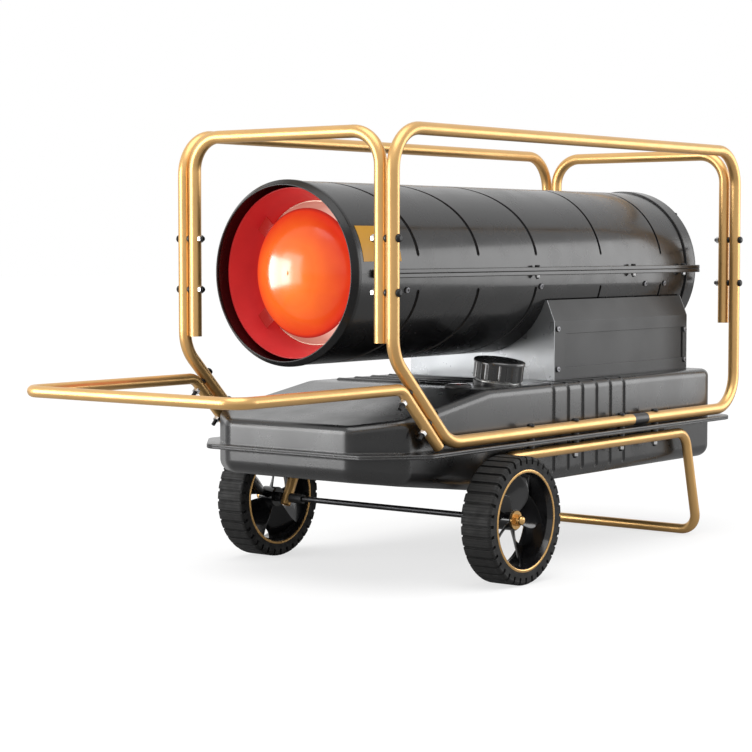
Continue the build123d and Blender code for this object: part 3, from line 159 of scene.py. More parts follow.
# --- finishes --------------------------------------------------------------------------
class Finish:
    """A node material for one finish, built up layer by layer on object coordinates."""

    def __init__(self, name, base, metallic=0.0, roughness=0.5, coat=0.0, coat_roughness=0.05,
                 ior=1.5):
        self.material = bpy.data.materials.new(name)
        self.material.use_nodes = True
        self.nodes = self.material.node_tree.nodes
        self.links = self.material.node_tree.links
        self.shader = self.nodes["Principled BSDF"]
        self.place = self.nodes.new("ShaderNodeTexCoord").outputs["Object"]
        self.base = base
        self.set("Base Color", (*base, 1.0))
        self.set("Metallic", metallic)
        self.set("Roughness", roughness)
        self.set("Coat Weight", coat)
        self.set("Coat Roughness", coat_roughness)
        self.set("IOR", ior)
        self.last_normal = None

    def set(self, socket, value):
        """A uniform value on the shader's own socket."""
        self.shader.inputs[socket].default_value = value

    def feed(self, value, socket):
        """A value from other nodes into a socket of the shader."""
        self.links.new(value, self.shader.inputs[socket])
        return self

    def noise(self, scale, detail, stretch):
        """Noise over the object, drawn out along an axis where stretch is given."""
        texture = self.nodes.new("ShaderNodeTexNoise")
        texture.inputs["Scale"].default_value = scale
        texture.inputs["Detail"].default_value = detail
        place = self.place
        if stretch:
            mapping = self.nodes.new("ShaderNodeMapping")
            mapping.inputs["Scale"].default_value = stretch
            self.links.new(place, mapping.inputs["Vector"])
            place = mapping.outputs["Vector"]
        self.links.new(place, texture.inputs["Vector"])
        return texture.outputs["Fac"]

    def along(self, axis):
        """The place along one axis."""
        node = self.nodes.new("ShaderNodeSeparateXYZ")
        self.links.new(self.place, node.inputs["Vector"])
        return node.outputs[axis]

    def reach(self, centre, kept):
        """Distance from a line through centre, along the direction that kept drops."""
        offset = self.nodes.new("ShaderNodeVectorMath")
        offset.operation = "SUBTRACT"
        offset.inputs[1].default_value = centre
        self.links.new(self.place, offset.inputs[0])
        flat = self.nodes.new("ShaderNodeVectorMath")
        flat.operation = "MULTIPLY"
        flat.inputs[1].default_value = kept
        self.links.new(offset.outputs["Vector"], flat.inputs[0])
        size = self.nodes.new("ShaderNodeVectorMath")
        size.operation = "LENGTH"
        self.links.new(flat.outputs["Vector"], size.inputs[0])
        return size.outputs["Value"]

    def math(self, operation, first, second=None):
        """Arithmetic on sockets and numbers."""
        node = self.nodes.new("ShaderNodeMath")
        node.operation = operation
        for index, value in enumerate((first, second)):
            if isinstance(value, bpy.types.NodeSocket):
                self.links.new(value, node.inputs[index])
            elif value is not None:
                node.inputs[index].default_value = value
        return node.outputs["Value"]

    def remap(self, value, from_low, from_high, to_low, to_high):
        """A value brought from one range to another and held within it."""
        node = self.nodes.new("ShaderNodeMapRange")
        for socket, number in (("From Min", from_low), ("From Max", from_high),
                               ("To Min", to_low), ("To Max", to_high)):
            node.inputs[socket].default_value = number
        self.links.new(value, node.inputs["Value"])
        return node.outputs["Result"]

    def drift(self, scale, detail, part, low, high, stretch=None):
        """Values that wander between low and high with the noise, over a part of its range."""
        return self.remap(self.noise(scale, detail, stretch), *part, low, high)

    def mix(self, factor, first, second):
        """A colour mixed from two by a factor; each may be a colour or a socket."""
        node = self.nodes.new("ShaderNodeMix")
        node.data_type = "RGBA"
        self.links.new(factor, node.inputs["Factor"])
        for name, value in (("A", first), ("B", second)):
            socket = [s for s in node.inputs if s.name == name and s.type == "RGBA"][0]
            if isinstance(value, bpy.types.NodeSocket):
                self.links.new(value, socket)
            else:
                socket.default_value = (*value, 1.0)
        return [s for s in node.outputs if s.type == "RGBA"][0]

    def mottle(self, scale, amount, stretch=None):
        """Uneven colour: the base, a little lighter and darker in soft clouds."""
        lift = amount * 0.004               # so that black gets clouds too
        cloud = self.drift(scale, 4.0, WIDE_MIDDLE, 0.0, 1.0, stretch)
        dark = tuple(c * (1 - amount) for c in self.base)
        light = tuple(min(1.0, c * (1 + amount) + lift) for c in self.base)
        return self.feed(self.mix(cloud, dark, light), "Base Color")

    def overlay(self, factor, shade):
        """Another colour over the present one where the factor is 1."""
        below = self.shader.inputs["Base Color"].links[0].from_socket
        return self.feed(self.mix(factor, below, shade), "Base Color")

    def uneven_gloss(self, scale, low, high, stretch=None):
        """Roughness that drifts between two values."""
        return self.feed(self.drift(scale, 5.0, NARROW_MIDDLE, low, high, stretch), "Roughness")

    def rounded(self, radius=None):
        """Edges shaded as if they were rounded."""
        node = self.nodes.new("ShaderNodeBevel")
        node.samples = 6
        node.inputs["Radius"].default_value = radius or sizes().edge_round
        self.last_normal = node.outputs["Normal"]
        return self.feed(self.last_normal, "Normal")

    def relief(self, height, depth, strength=1.0):
        """Bump from a height socket, with a real depth in metres."""
        node = self.nodes.new("ShaderNodeBump")
        node.inputs["Strength"].default_value = strength
        node.inputs["Distance"].default_value = depth
        self.links.new(height, node.inputs["Height"])
        if self.last_normal:
            self.links.new(self.last_normal, node.inputs["Normal"])
        self.last_normal = node.outputs["Normal"]
        return self.feed(self.last_normal, "Normal")

    def grain(self, scale, detail, depth, stretch=None):
        """A fine rough surface."""
        return self.relief(self.noise(scale, detail, stretch), depth)

    def orange_peel(self, scale=160.0, depth=0.00004):
        """The fine waves of sprayed paint."""
        return self.grain(scale, 1.0, depth)

    def on(self, *names):
        """Give this finish to CAD nodes or new pieces."""
        for name in names:
            target = NODES.get(name) or bpy.data.objects[name]
            target.data.materials.clear()
            target.data.materials.append(self.material)
        return self


def gold_paint():
    """Satin gold paint on bent tube."""
    finish = Finish("gold_paint", finishes().gold, metallic=0.75, roughness=0.34)
    return finish.mottle(scale=9.0, amount=0.05).uneven_gloss(scale=24.0, low=0.3, high=0.38)


def black_enamel(name, low=0.2, high=0.3, ior=1.45, coat=0.25, edge=None):
    """Gloss black stove enamel, with a roughness from low to high."""
    finish = Finish(name, finishes().black, roughness=0.2, coat=coat, coat_roughness=0.12,
                    ior=ior)
    finish.mottle(scale=6.0, amount=0.25).uneven_gloss(scale=12.0, low=low, high=high)
    return finish.rounded(edge).orange_peel()


def cover_grey():
    """Semi-gloss paint of the side covers."""
    finish = Finish("cover_grey", finishes().cover, roughness=0.34, ior=1.4)
    finish.set("Specular IOR Level", 0.4)
    finish.mottle(scale=7.0, amount=0.08).uneven_gloss(scale=9.0, low=0.3, high=0.36)
    return finish.rounded().orange_peel(scale=260.0)


def plate_grey():
    """Bright metallic paint of the base's end plates."""
    finish = Finish("plate_grey", finishes().plate, metallic=0.5, roughness=0.28)
    finish.mottle(scale=5.0, amount=0.05).uneven_gloss(scale=14.0, low=0.25, high=0.31)
    return finish.rounded().orange_peel(scale=220.0, depth=0.000015)


def zinc_plate(name="zinc_plate", shade=None):
    """Plated steel, with the small crystals of zinc."""
    finish = Finish(name, shade or finishes().zinc, metallic=1.0, roughness=0.3)
    finish.mottle(scale=120.0, amount=0.18).uneven_gloss(scale=200.0, low=0.22, high=0.4)
    return finish.rounded(0.0004)


def black_oxide():
    """Blackened steel of bolts and screws."""
    finish = Finish("black_oxide", (0.02, 0.02, 0.021), metallic=0.6, roughness=0.36)
    finish.mottle(scale=150.0, amount=0.3).uneven_gloss(scale=220.0, low=0.3, high=0.46)
    return finish.rounded(0.0005)


def moulded_black(name, roughness=0.42):
    """Black plastic or rubber with a fine moulded grain."""
    spread = 0.05
    finish = Finish(name, (0.018, 0.018, 0.019), roughness=roughness)
    finish.mottle(scale=40.0, amount=0.2)
    finish.uneven_gloss(scale=90.0, low=roughness - spread, high=roughness + spread)
    return finish.rounded(0.0007).grain(scale=900.0, detail=2.0, depth=0.00003)


def glossy_part(name, shade, roughness, coat, mottle, gloss, edge=None):
    """A glossy moulding: mottle is (scale, amount), gloss is (scale, low, high)."""
    finish = Finish(name, shade, roughness=roughness, coat=coat)
    return finish.mottle(*mottle).uneven_gloss(*gloss).rounded(edge)


def tyre_rubber():
    """Dull rubber, dusty in the tread, with fine slits there and fine rings on the walls."""
    dust_shade = tuple(c * 2.4 for c in finishes().rubber)
    ring_pitch, ring_depth, ring_strength = 0.004, 0.0002, 0.7
    sipe_depth, sipe_edge, land_edge = 0.0012, 0.95, 0.8
    # Shares of the tyre's radius between which a layer comes or goes.
    dusty_from, dust_amount = 0.9, 0.35
    wall_to, wall_gone = 0.84, 0.86
    tread_from, tread_full = 0.93, 0.94
    finish = Finish("tyre_rubber", finishes().rubber, roughness=0.66, ior=1.4)
    finish.mottle(scale=26.0, amount=0.28).uneven_gloss(scale=60.0, low=0.56, high=0.76)
    outward = finish.reach(TYRE_MIDDLE, FROM_WHEEL_AXIS)
    radius = (TYRE_HIGH.z - TYRE_LOW.z) / 2
    dust = finish.remap(outward, radius * dusty_from, radius, 0.0, dust_amount)
    finish.overlay(dust, dust_shade).rounded(0.0011)
    rings = finish.math("SINE", finish.math("MULTIPLY", outward, 2 * pi / ring_pitch))
    wall = finish.remap(outward, radius * wall_to, radius * wall_gone, 1.0, 0.0)
    finish.relief(finish.math("MULTIPLY", rings, wall), ring_depth, ring_strength)
    rise = finish.math("SUBTRACT", finish.along("Z"), TYRE_MIDDLE.z)
    forward = finish.math("SUBTRACT", finish.along("Y"), TYRE_MIDDLE.y)
    turn = finish.math("MULTIPLY", finish.math("ARCTAN2", rise, forward),
                       sizes().tread_sipes)
    sipes = finish.remap(finish.math("COSINE", turn), land_edge, sipe_edge, 1.0, 0.0)
    tread = finish.remap(outward, radius * tread_from, radius * tread_full, 0.0, 1.0)
    finish.relief(finish.math("MULTIPLY", sipes, tread), sipe_depth)
    return finish.grain(scale=700.0, detail=3.0, depth=0.0001)


def bare_steel(name, shade, scale=60.0, stretch=(1.0, 0.05, 1.0)):
    """Steel with drawn-out marks along Y, or as stretched."""
    finish = Finish(name, shade, metallic=1.0, roughness=0.4)
    finish.mottle(scale, 0.2, stretch)
    finish.uneven_gloss(scale * 2, 0.3, 0.5, stretch).rounded()
    return finish.grain(scale * 6, 2.0, 0.00003, stretch)


def tinted_steel(name):
    """Steel that heat has turned brown."""
    return bare_steel(name, (0.36, 0.28, 0.22), 12.0, (1.0, 0.3, 1.0))


def hot_chamber():
    """Heat-tinted steel, lit on its inside by the fire, more so with depth."""
    dim_depth, full_depth = 0.08, 0.3       # behind the chamber's front edge
    lit_below, dark_above = 0.0008, 0.0004  # below the chamber's outside
    finish = tinted_steel("hot_chamber")
    front = CHAMBER_LOW.y
    depth = finish.remap(finish.along("Y"), front + dim_depth, front + full_depth, 0.0, 1.0)
    finish.feed(finish.mix(depth, finishes().ember, finishes().flare), "Emission Color")
    outer = (CHAMBER_HIGH.x - CHAMBER_LOW.x) / 2
    inside = finish.remap(finish.reach(CHAMBER_MIDDLE, FROM_BARREL_AXIS), outer - lit_below,
                          outer - dark_above, 1.0, 0.0)
    return finish.feed(inside, "Emission Strength")


def cast_aluminium(name, shade):
    """Dull cast metal with a sandy surface."""
    finish = Finish(name, shade, metallic=0.9, roughness=0.5)
    finish.mottle(scale=50.0, amount=0.15).uneven_gloss(scale=80.0, low=0.42, high=0.6)
    return finish.rounded().grain(scale=900.0, detail=3.0, depth=0.00006)


def plain_label():
    """Yellow film without any print."""
    finish = Finish("plain_label", finishes().label, roughness=0.45, ior=1.4)
    finish.mottle(scale=14.0, amount=0.06).uneven_gloss(scale=30.0, low=0.4, high=0.5)
    return finish.orange_peel(scale=300.0, depth=0.00002)


def cone_red():
    """Red enamel with a painted glow, as if the fire lit it."""
    finish = Finish("cone_red", finishes().cone, roughness=0.44, ior=1.4)
    finish.mottle(scale=18.0, amount=0.1).uneven_gloss(scale=30.0, low=0.4, high=0.5)
    finish.rounded().orange_peel()
    # painted glow: the cone gives off a faint red light of its own, standing in for the fire's
    # light on it
    finish.set("Emission Color", (*finishes().painted_cone_glow, 1.0))
    finish.set("Emission Strength", 0.36)
    return finish


def glowing_dome():
    """The glowing dome: orange near the middle, red further out, dark red rim and feet."""
    side_shift, down_shift = 0.008, 0.004   # of the hottest place from the dome's middle
    # Shares of the dome's radius where one glow gives way to the next, and how they wander.
    warm_full, cool_from, rim_from, rim_full, ragged = 0.5, 0.55, 0.95, 0.998, 0.05
    crown_rough, rim_rough, spread = 0.19, 0.8, 0.04
    finish = Finish("glowing_dome", (0.10, 0.012, 0.006), roughness=0.24, coat=0.25,
                    coat_roughness=0.16)
    finish.set("Specular IOR Level", 0.25)
    radius = (DOME_HIGH.x - DOME_LOW.x) / 2
    hot = (DOME_MIDDLE.x - side_shift, DOME_LOW.y, DOME_MIDDLE.z - down_shift)
    uneven = finish.drift(14.0, 3.0, WIDE_MIDDLE, -ragged * radius, ragged * radius)
    distance = finish.math("ADD", finish.reach(hot, FROM_BARREL_AXIS), uneven)
    warming = finish.remap(distance, 0.0, radius * warm_full, 0.0, 1.0)
    cooling = finish.remap(distance, radius * cool_from, radius, 0.0, 1.0)
    core = finish.mix(warming, finishes().glow_hot, finishes().glow_warm)
    glow = finish.mix(cooling, core, finishes().glow_cool)
    rim = finish.remap(finish.reach(DOME_MIDDLE, FROM_BARREL_AXIS), radius * rim_from,
                       radius * rim_full, 0.0, 1.0)
    finish.feed(finish.mix(rim, glow, finishes().glow_rim), "Emission Color")
    finish.set("Emission Strength", sizes().glow_power)
    dull = finish.remap(rim, 0.0, 1.0, crown_rough, rim_rough)
    uneven_gloss = finish.drift(30.0, 5.0, NARROW_MIDDLE, -spread, spread)
    finish.feed(finish.math("ADD", dull, uneven_gloss), "Roughness")
    return finish.mottle(scale=20.0, amount=0.3)


def barrel_enamel():
    """Gloss black with painted shade in its grooves and a painted fire glow inside the mouth."""
    lip = 0.002                             # how far the mouth ring stands out
    mouth_depth, fade_depth = 0.06, 0.09    # behind the mouth ring's front
    # Depths below the shell's outside that hold its inner face and its grooves.
    inner_full, inner_none = 0.0025, 0.0015
    groove_full, groove_none = 0.0018, 0.0006
    groove_shade_level = 0.95                     # painted shade: makes the enamel in a groove almost black
    finish = black_enamel("barrel_enamel")
    shell = (RIM_HIGH.x - RIM_LOW.x) / 2 - lip
    outward = finish.reach(RIM_MIDDLE, FROM_BARREL_AXIS)
    inside = finish.remap(outward, shell - inner_full, shell - inner_none, 1.0, 0.0)
    front = finish.remap(finish.along("Y"), RIM_LOW.y + mouth_depth, RIM_LOW.y + fade_depth,
                         1.0, 0.0)
    painted_groove_shade = finish.remap(outward, shell - groove_full, shell - groove_none, groove_shade_level,
                          0.0)
    behind = finish.math("SUBTRACT", 1.0, front)
    # painted shade: behind the mouth the grooves turn metallic over the black base, so they
    # reflect almost nothing
    finish.feed(finish.math("MULTIPLY", painted_groove_shade, behind), "Metallic")
    # painted glow of the fire: the inner face near the mouth gets a deep red colour
    return finish.overlay(finish.math("MULTIPLY", inside, front), finishes().painted_throat_glow)


def clear_lens():
    """Clear moulded window, very slightly hazed."""
    finish = Finish("clear_lens", (0.95, 0.96, 0.96), roughness=0.03, ior=1.25)
    finish.set("Transmission Weight", 1.0)
    return finish.mottle(scale=60.0, amount=0.02).uneven_gloss(scale=80.0, low=0.02, high=0.05)


def printed(name, shade):
    """Printed ink or paint on a moulded mark."""
    finish = Finish(name, shade, roughness=0.45)
    return finish.mottle(scale=200.0, amount=0.08).uneven_gloss(scale=300.0, low=0.38, high=0.52)


# --- modelling helpers -----------------------------------------------------------------
def clear_selection():
    """Object mode with nothing selected."""
    if bpy.context.object and bpy.context.object.mode != "OBJECT":
        bpy.ops.object.mode_set(mode="OBJECT")
    bpy.ops.object.select_all(action="DESELECT")


def pick(piece):
    """One piece selected and active."""
    clear_selection()
    piece.select_set(True)
    bpy.context.view_layer.objects.active = piece


def name_piece(name):
    """Name the piece just added and open it for editing with all of it selected."""
    piece = bpy.context.object
    piece.name = name
    piece.data.name = name
    bpy.ops.object.mode_set(mode="EDIT")
    bpy.ops.mesh.select_all(action="SELECT")
    return piece


def block(name, middle, dims, edge):
    """A block with bevelled edges, at its size and place."""
    clear_selection()
    bpy.ops.mesh.primitive_cube_add(size=1.0, location=middle)
    piece = name_piece(name)
    bpy.ops.transform.resize(value=dims)
    bpy.ops.mesh.bevel(offset=edge, segments=2, affect="EDGES")
    bpy.ops.object.mode_set(mode="OBJECT")
    return piece


def disc(name, middle, radius, thickness, edge):
    """A round plate that stands up from its middle, with a bevelled rim."""
    clear_selection()
    bpy.ops.mesh.primitive_circle_add(vertices=ROUND_SEGMENTS, radius=radius,
                                      fill_type="NGON", location=middle)
    piece = name_piece(name)
    bpy.ops.mesh.extrude_region_move(TRANSFORM_OT_translate={"value": (0, 0, thickness)})
    bpy.ops.mesh.inset(thickness=edge, depth=edge * 0.5)
    bpy.ops.object.mode_set(mode="OBJECT")
    return piece


def join(pieces):
    """All pieces joined into the first."""
    clear_selection()
    for piece in pieces:
        piece.select_set(True)
    bpy.context.view_layer.objects.active = pieces[0]
    bpy.ops.object.join()
    return bpy.context.object


def fan_out(piece, count, step, axis, centre):
    """Copies of a piece turned about a centre, all joined into one mesh."""
    made = [piece]
    for turn in range(1, count):
        pick(piece)
        bpy.ops.object.duplicate()
        bpy.ops.transform.rotate(value=step * turn, orient_axis=axis, center_override=centre)
        made.append(bpy.context.object)
    return join(made)


def panel_text(name, words, place, height, size):
    """Raised characters on the left panel, upright and facing -X."""
    clear_selection()
    bpy.ops.object.text_add(location=place, rotation=(pi / 2, 0.0, -pi / 2))
    writing = bpy.context.object
    writing.data.body = words
    writing.data.size = size
    writing.data.align_x = "CENTER"
    writing.data.align_y = "CENTER"
    writing.data.extrude = height / 2
    bpy.ops.object.convert(target="MESH")
    piece = name_piece(name)
    bpy.ops.mesh.remove_doubles(threshold=TEXT_WELD)
    bpy.ops.mesh.normals_make_consistent(inside=False)
    bpy.ops.object.mode_set(mode="OBJECT")
    return piece


def settle(piece, finish, body):
    """Bring the object to the origin, closed up and facing outwards, and tie it in."""
    pick(piece)
    bpy.ops.object.transform_apply(location=True, rotation=True, scale=True)
    bpy.ops.object.mode_set(mode="EDIT")
    bpy.ops.mesh.select_all(action="SELECT")
    bpy.ops.mesh.remove_doubles(threshold=WELD)
    bpy.ops.mesh.normals_make_consistent(inside=False)
    bpy.ops.object.mode_set(mode="OBJECT")
    bpy.ops.object.shade_smooth_by_angle(angle=SMOOTH_ANGLE)
    finish.on(piece.name)
    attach(piece, body)


# --- operators: finishes and fine details ----------------------------------------------
class HEATER_OT_trolley(bpy.types.Operator):
    """Gold tubes, black sleeves, bolts, nuts and spacers of the trolley frame"""
    bl_idname = "heater.trolley"
    bl_label = "Finish Trolley"
    bl_options = {"REGISTER", "UNDO"}

    def execute(self, context):
        gold_paint().on("side_hoop_right", "side_hoop_left", "front_cross_hoop",
                        "rear_cross_hoop", "pull_handle", "axle_stand")
        moulded_black("sleeve_black", roughness=0.36).on("hoop_sleeves", "frame_spacers")
        black_oxide().on("frame_bolts", "barrel_bolts", "tank_flange_screws")
        zinc_plate().on("frame_nuts", "barrel_nuts")
        zinc_plate("screw_zinc", (0.19, 0.19, 0.20)).on("cross_screws")
        return {"FINISHED"}


class HEATER_OT_wheels(bpy.types.Operator):
    """Tyres, rims, trim rings, axle and hub fasteners"""
    bl_idname = "heater.wheels"
    bl_label = "Finish Wheels"
    bl_options = {"REGISTER", "UNDO"}

    def execute(self, context):
        tyre_rubber().on("tyre_right", "tyre_left")
        glossy_part("rim_gloss", (0.007, 0.007, 0.008), roughness=0.16, coat=0.2,
                    mottle=(30.0, 0.3), gloss=(40.0, 0.1, 0.2)).on("rim_right", "rim_left")
        trim = Finish("trim_gold", finishes().gold, metallic=0.9, roughness=0.28)
        trim.mottle(scale=40.0, amount=0.08).uneven_gloss(scale=90.0, low=0.18, high=0.3)
        trim.on("rim_trims_right", "rim_trims_left", "hub_washers", "dome_nuts")
        bare_steel("axle_steel", (0.05, 0.05, 0.052), 80.0, (0.1, 1.0, 1.0)).on("axle")
        moulded_black("collar_black").on("axle_collars")
        return {"FINISHED"}


class HEATER_OT_tank(bpy.types.Operator):
    """Fuel tank shells, filler, cap, gauge and drain plug"""
    bl_idname = "heater.tank"
    bl_label = "Finish Tank"
    bl_options = {"REGISTER", "UNDO"}

    def execute(self, context):
        black_enamel("tank_enamel", low=0.24, high=0.34, ior=1.6, edge=0.005).on(
            "tank_upper_shell", "tank_lower_shell")
        zinc_plate("neck_zinc", (0.5, 0.5, 0.49)).on("filler_neck", "filler_strainer")
        glossy_part("cap_black", (0.012, 0.012, 0.0125), roughness=0.2, coat=0.8,
                    mottle=(40.0, 0.2), gloss=(70.0, 0.16, 0.28), edge=0.0012).on("fuel_cap")
        moulded_black("gasket_rubber", roughness=0.7).on("cap_gasket")
        moulded_black("gauge_black", roughness=0.5).on("fuel_gauge")
        bare_steel("plug_brass", (0.55, 0.36, 0.12)).on("drain_plug")
        return {"FINISHED"}


class HEATER_OT_gauge(bpy.types.Operator):
    """Dial, marks, needle and window of the fuel gauge"""
    bl_idname = "heater.gauge"
    bl_label = "Make Gauge Dial"
    bl_options = {"REGISTER", "UNDO"}

    def execute(self, context):
        body, slot = "heater", "gauge_plastic"
        dial = 0.0208                       # radius of the dial and of its window
        dial_depth, window_depth = 0.002, 0.0005    # below the gauge's top
        floor = GAUGE_HIGH.z - dial_depth
        middle = Vector((GAUGE_MIDDLE.x, GAUGE_MIDDLE.y, floor))
        face = disc("gauge_dial", middle, dial, thickness=0.0003, edge=0.0012)
        settle(face, printed("dial_black", (0.012, 0.012, 0.012)), body)

        mark = sizes().gauge_tick
        mark_inset, mark_rise = 0.0022, 0.001
        mark_count, mark_step, first_mark = 5, radians(30), radians(-60)
        tick = block("gauge_marks",
                     middle + Vector((0.0, dial - mark_inset - mark / 2, mark_rise)),
                     dims=(0.0011, mark, 0.0003), edge=0.0001)
        bpy.ops.transform.rotate(value=first_mark, orient_axis="Z", center_override=middle)
        marks = fan_out(tick, mark_count, mark_step, "Z", middle)
        settle(marks, printed("dial_white", (0.7, 0.7, 0.68)), body)

        pointer_offset, pointer_rise, reading = 0.006, 0.0013, radians(35)
        tip_start, tip_width = 0.007, 0.3   # corners beyond the first narrow by the second
        pointer = block("gauge_needle",
                        middle + Vector((0.0, pointer_offset, pointer_rise)),
                        dims=(0.0016, 0.019, 0.0005), edge=0.0001)
        bpy.ops.object.mode_set(mode="EDIT")
        bpy.ops.mesh.select_all(action="DESELECT")
        bpy.ops.object.mode_set(mode="OBJECT")
        for corner in pointer.data.vertices:
            corner.select = corner.co.y > tip_start
        bpy.ops.object.mode_set(mode="EDIT")
        bpy.ops.transform.resize(value=(tip_width, 1.0, 1.0))
        bpy.ops.object.mode_set(mode="OBJECT")
        bpy.ops.transform.rotate(value=reading, orient_axis="Z", center_override=middle)
        hub_rise, hub_radius = 0.0009, 0.0026
        hub = disc("needle_hub", (middle.x, middle.y, floor + hub_rise), hub_radius,
                   thickness=0.0006, edge=0.0004)
        needle = join([pointer, hub])
        settle(needle, printed("needle_red", (0.55, 0.02, 0.015)), body)

        window = disc("gauge_window",
                      (middle.x, middle.y, GAUGE_HIGH.z - window_depth), dial,
                      thickness=0.0004, edge=0.003)
        settle(window, clear_lens(), body)
        return {"FINISHED"}


class HEATER_OT_barrel(bpy.types.Operator):
    """Barrel shells, mouth ring, plain label and rear guard"""
    bl_idname = "heater.barrel"
    bl_label = "Finish Barrel"
    bl_options = {"REGISTER", "UNDO"}

    def execute(self, context):
        barrel_enamel().on("barrel_upper_shell", "barrel_lower_shell")
        black_enamel("rim_enamel", low=0.22, high=0.32, ior=1.4, coat=0.0).on("barrel_rim")
        plain_label().on("blank_label")
        black_enamel("guard_black", low=0.25, high=0.4, ior=1.5, coat=0.2).on("rear_guard")
        return {"FINISHED"}


class HEATER_OT_burner(bpy.types.Operator):
    """Outlet cone, glowing dome, combustion chamber, burner head, nozzle and fuel line"""
    bl_idname = "heater.burner"
    bl_label = "Finish Burner"
    bl_options = {"REGISTER", "UNDO"}

    def execute(self, context):
        cone_red().on("outlet_cone")
        glowing_dome().on("flame_dome")
        hot_chamber().on("combustion_chamber")
        tinted_steel("tinted_steel").on("chamber_supports", "chamber_back_plate")
        bare_steel("burner_steel", (0.42, 0.40, 0.38)).on("burner_head", "nozzle_assembly")
        bare_steel("copper_line", (0.75, 0.34, 0.17)).on("fuel_line")
        return {"FINISHED"}


class HEATER_OT_fan(bpy.types.Operator):
    """Fan, motor, bracket and air pump behind the rear guard"""
    bl_idname = "heater.fan"
    bl_label = "Finish Fan"
    bl_options = {"REGISTER", "UNDO"}

    def execute(self, context):
        cast_aluminium("fan_alloy", (0.5, 0.5, 0.52)).on("fan")
        cast_aluminium("motor_grey", (0.12, 0.125, 0.13)).on("fan_motor", "air_pump")
        zinc_plate("bracket_zinc", (0.5, 0.5, 0.5)).on("motor_bracket")
        return {"FINISHED"}


class HEATER_OT_base(bpy.types.Operator):
    """Base channel, side covers, controls and the parts inside the base"""
    bl_idname = "heater.base"
    bl_label = "Finish Base"
    bl_options = {"REGISTER", "UNDO"}

    def execute(self, context):
        plate_grey().on("base_channel")
        cover_grey().on("right_cover", "left_cover")
        moulded_black("control_black", roughness=0.38).on(
            "thermostat_body", "thermostat_knob", "switch_housing", "power_inlet")
        glossy_part("rocker_red", (0.42, 0.02, 0.015), roughness=0.25, coat=0.4,
                    mottle=(80.0, 0.1), gloss=(120.0, 0.2, 0.32),
                    edge=0.0006).on("switch_rocker")
        glossy_part("lamp_lens", (0.75, 0.24, 0.02), roughness=0.12, coat=0.8,
                    mottle=(90.0, 0.12), gloss=(120.0, 0.08, 0.18),
                    edge=0.0006).on("indicator_lamp")
        moulded_black("transformer_case", roughness=0.5).on("ignition_transformer")
        return {"FINISHED"}


class HEATER_OT_marks(bpy.types.Operator):
    """Raised marks and numbers round the thermostat knob and the switch"""
    bl_idname = "heater.marks"
    bl_label = "Make Panel Marks"
    bl_options = {"REGISTER", "UNDO"}

    def execute(self, context):
        body, slot = "heater", "control_plastic"
        tick_gap, number_gap, sign_gap = 0.0025, 0.0095, 0.006
        number_count, number_step, degrees_apart = 7, radians(45), 5
        sign_size = 0.007
        high = sizes().mark_height
        knob = Vector((PANEL_X, KNOB_MIDDLE.y, KNOB_MIDDLE.z))
        grip = (KNOB_HIGH.z - KNOB_LOW.z) / 2
        ink = printed("marking_white", finishes().marking)

        long = sizes().tick_length
        tick = block("thermostat_ticks",
                     knob + Vector((-high / 2, 0.0, grip + tick_gap + long / 2)),
                     dims=(high, sizes().tick_width, long), edge=high * 0.2)
        count = sizes().tick_count
        ticks = fan_out(tick, count, KNOB_SWEEP / (count - 1), "X", knob)
        settle(ticks, ink, body)

        numbers = []
        far = grip + number_gap
        for step in range(number_count):
            angle = step * number_step
            place = knob + Vector((-high / 2, far * sin(angle), far * cos(angle)))
            numbers.append(panel_text(f"number_{step}", str(degrees_apart * (step + 1)),
                                      place, high, sizes().number_size))
        numbers[0].name = "thermostat_numbers"
        settle(join(numbers), ink, body)

        on = SWITCH_HIGH.z + sign_gap
        off = SWITCH_LOW.z - sign_gap
        signs = [panel_text(name, sign, (PANEL_X - high / 2, SWITCH_MIDDLE.y, height), high,
                            sign_size)
                 for name, sign, height in (("switch_marks", "I", on), ("sign_off", "O", off))]
        settle(join(signs), ink, body)
        return {"FINISHED"}


# --- operators: stage ------------------------------------------------------------------
# The plain light of floor and world is topped up for some kinds of ray by these shares.
PAPER_SHADE = (0.3, 0.3, 0.3, 1.0)
PAPER_SHARES = {"Is Camera Ray": 0.69, "Is Transmission Ray": 0.69, "Is Glossy Ray": 0.1}
WORLD_SHADE = (1.0, 1.0, 1.0, 1.0)
WORLD_LEVEL = 0.55
WORLD_SHARES = {"Is Camera Ray": 0.45, "Is Transmission Ray": 0.45, "Is Glossy Ray": 0.35}

FLOOR_SIZE = 60.0
SENSOR_WIDTH = 36.0                 # mm
VIEW_END = 100.0

SUN_RADIANCE = 0.62
SUN_ANGLE = radians(60)             # as wide as a cloudy sky, for a soft shadow
SUN_TURN = (radians(12), radians(10), 0.0)
STAGE_MIDDLE = (0.0, 0.0, 0.5)
# Name, place, width, height and radiance of the soft lamps that light everything.
SOFT_LAMPS = (("front_left", (-1.5, -2.6, 0.8), 1.6, 1.6, 7.0),
              ("back_right", (1.8, 2.05, 0.85), 2.0, 1.4, 2.6))
# The window that the dome mirrors: from where on the dome, and at what distance.
WINDOW_SIDE = -0.025
WINDOW_DIRECTION = Vector((-0.844, -0.537, 0.005))
WINDOW_DISTANCE = 1.5


def soft_lamp(name, place, target, width, height, radiance):
    """A rectangular lamp that faces a target and looks as bright as its radiance."""
    data = bpy.data.lights.new(name, "AREA")
    data.shape = "RECTANGLE"
    data.size, data.size_y = width, height
    data.energy = radiance * pi * width * height * sizes().lamp_power
    lamp = bpy.data.objects.new(name, data)
    lamp.location = place
    lamp.rotation_euler = (Vector(target) - Vector(place)).to_track_quat("-Z", "Y").to_euler()
    bpy.context.scene.collection.objects.link(lamp)
    return lamp


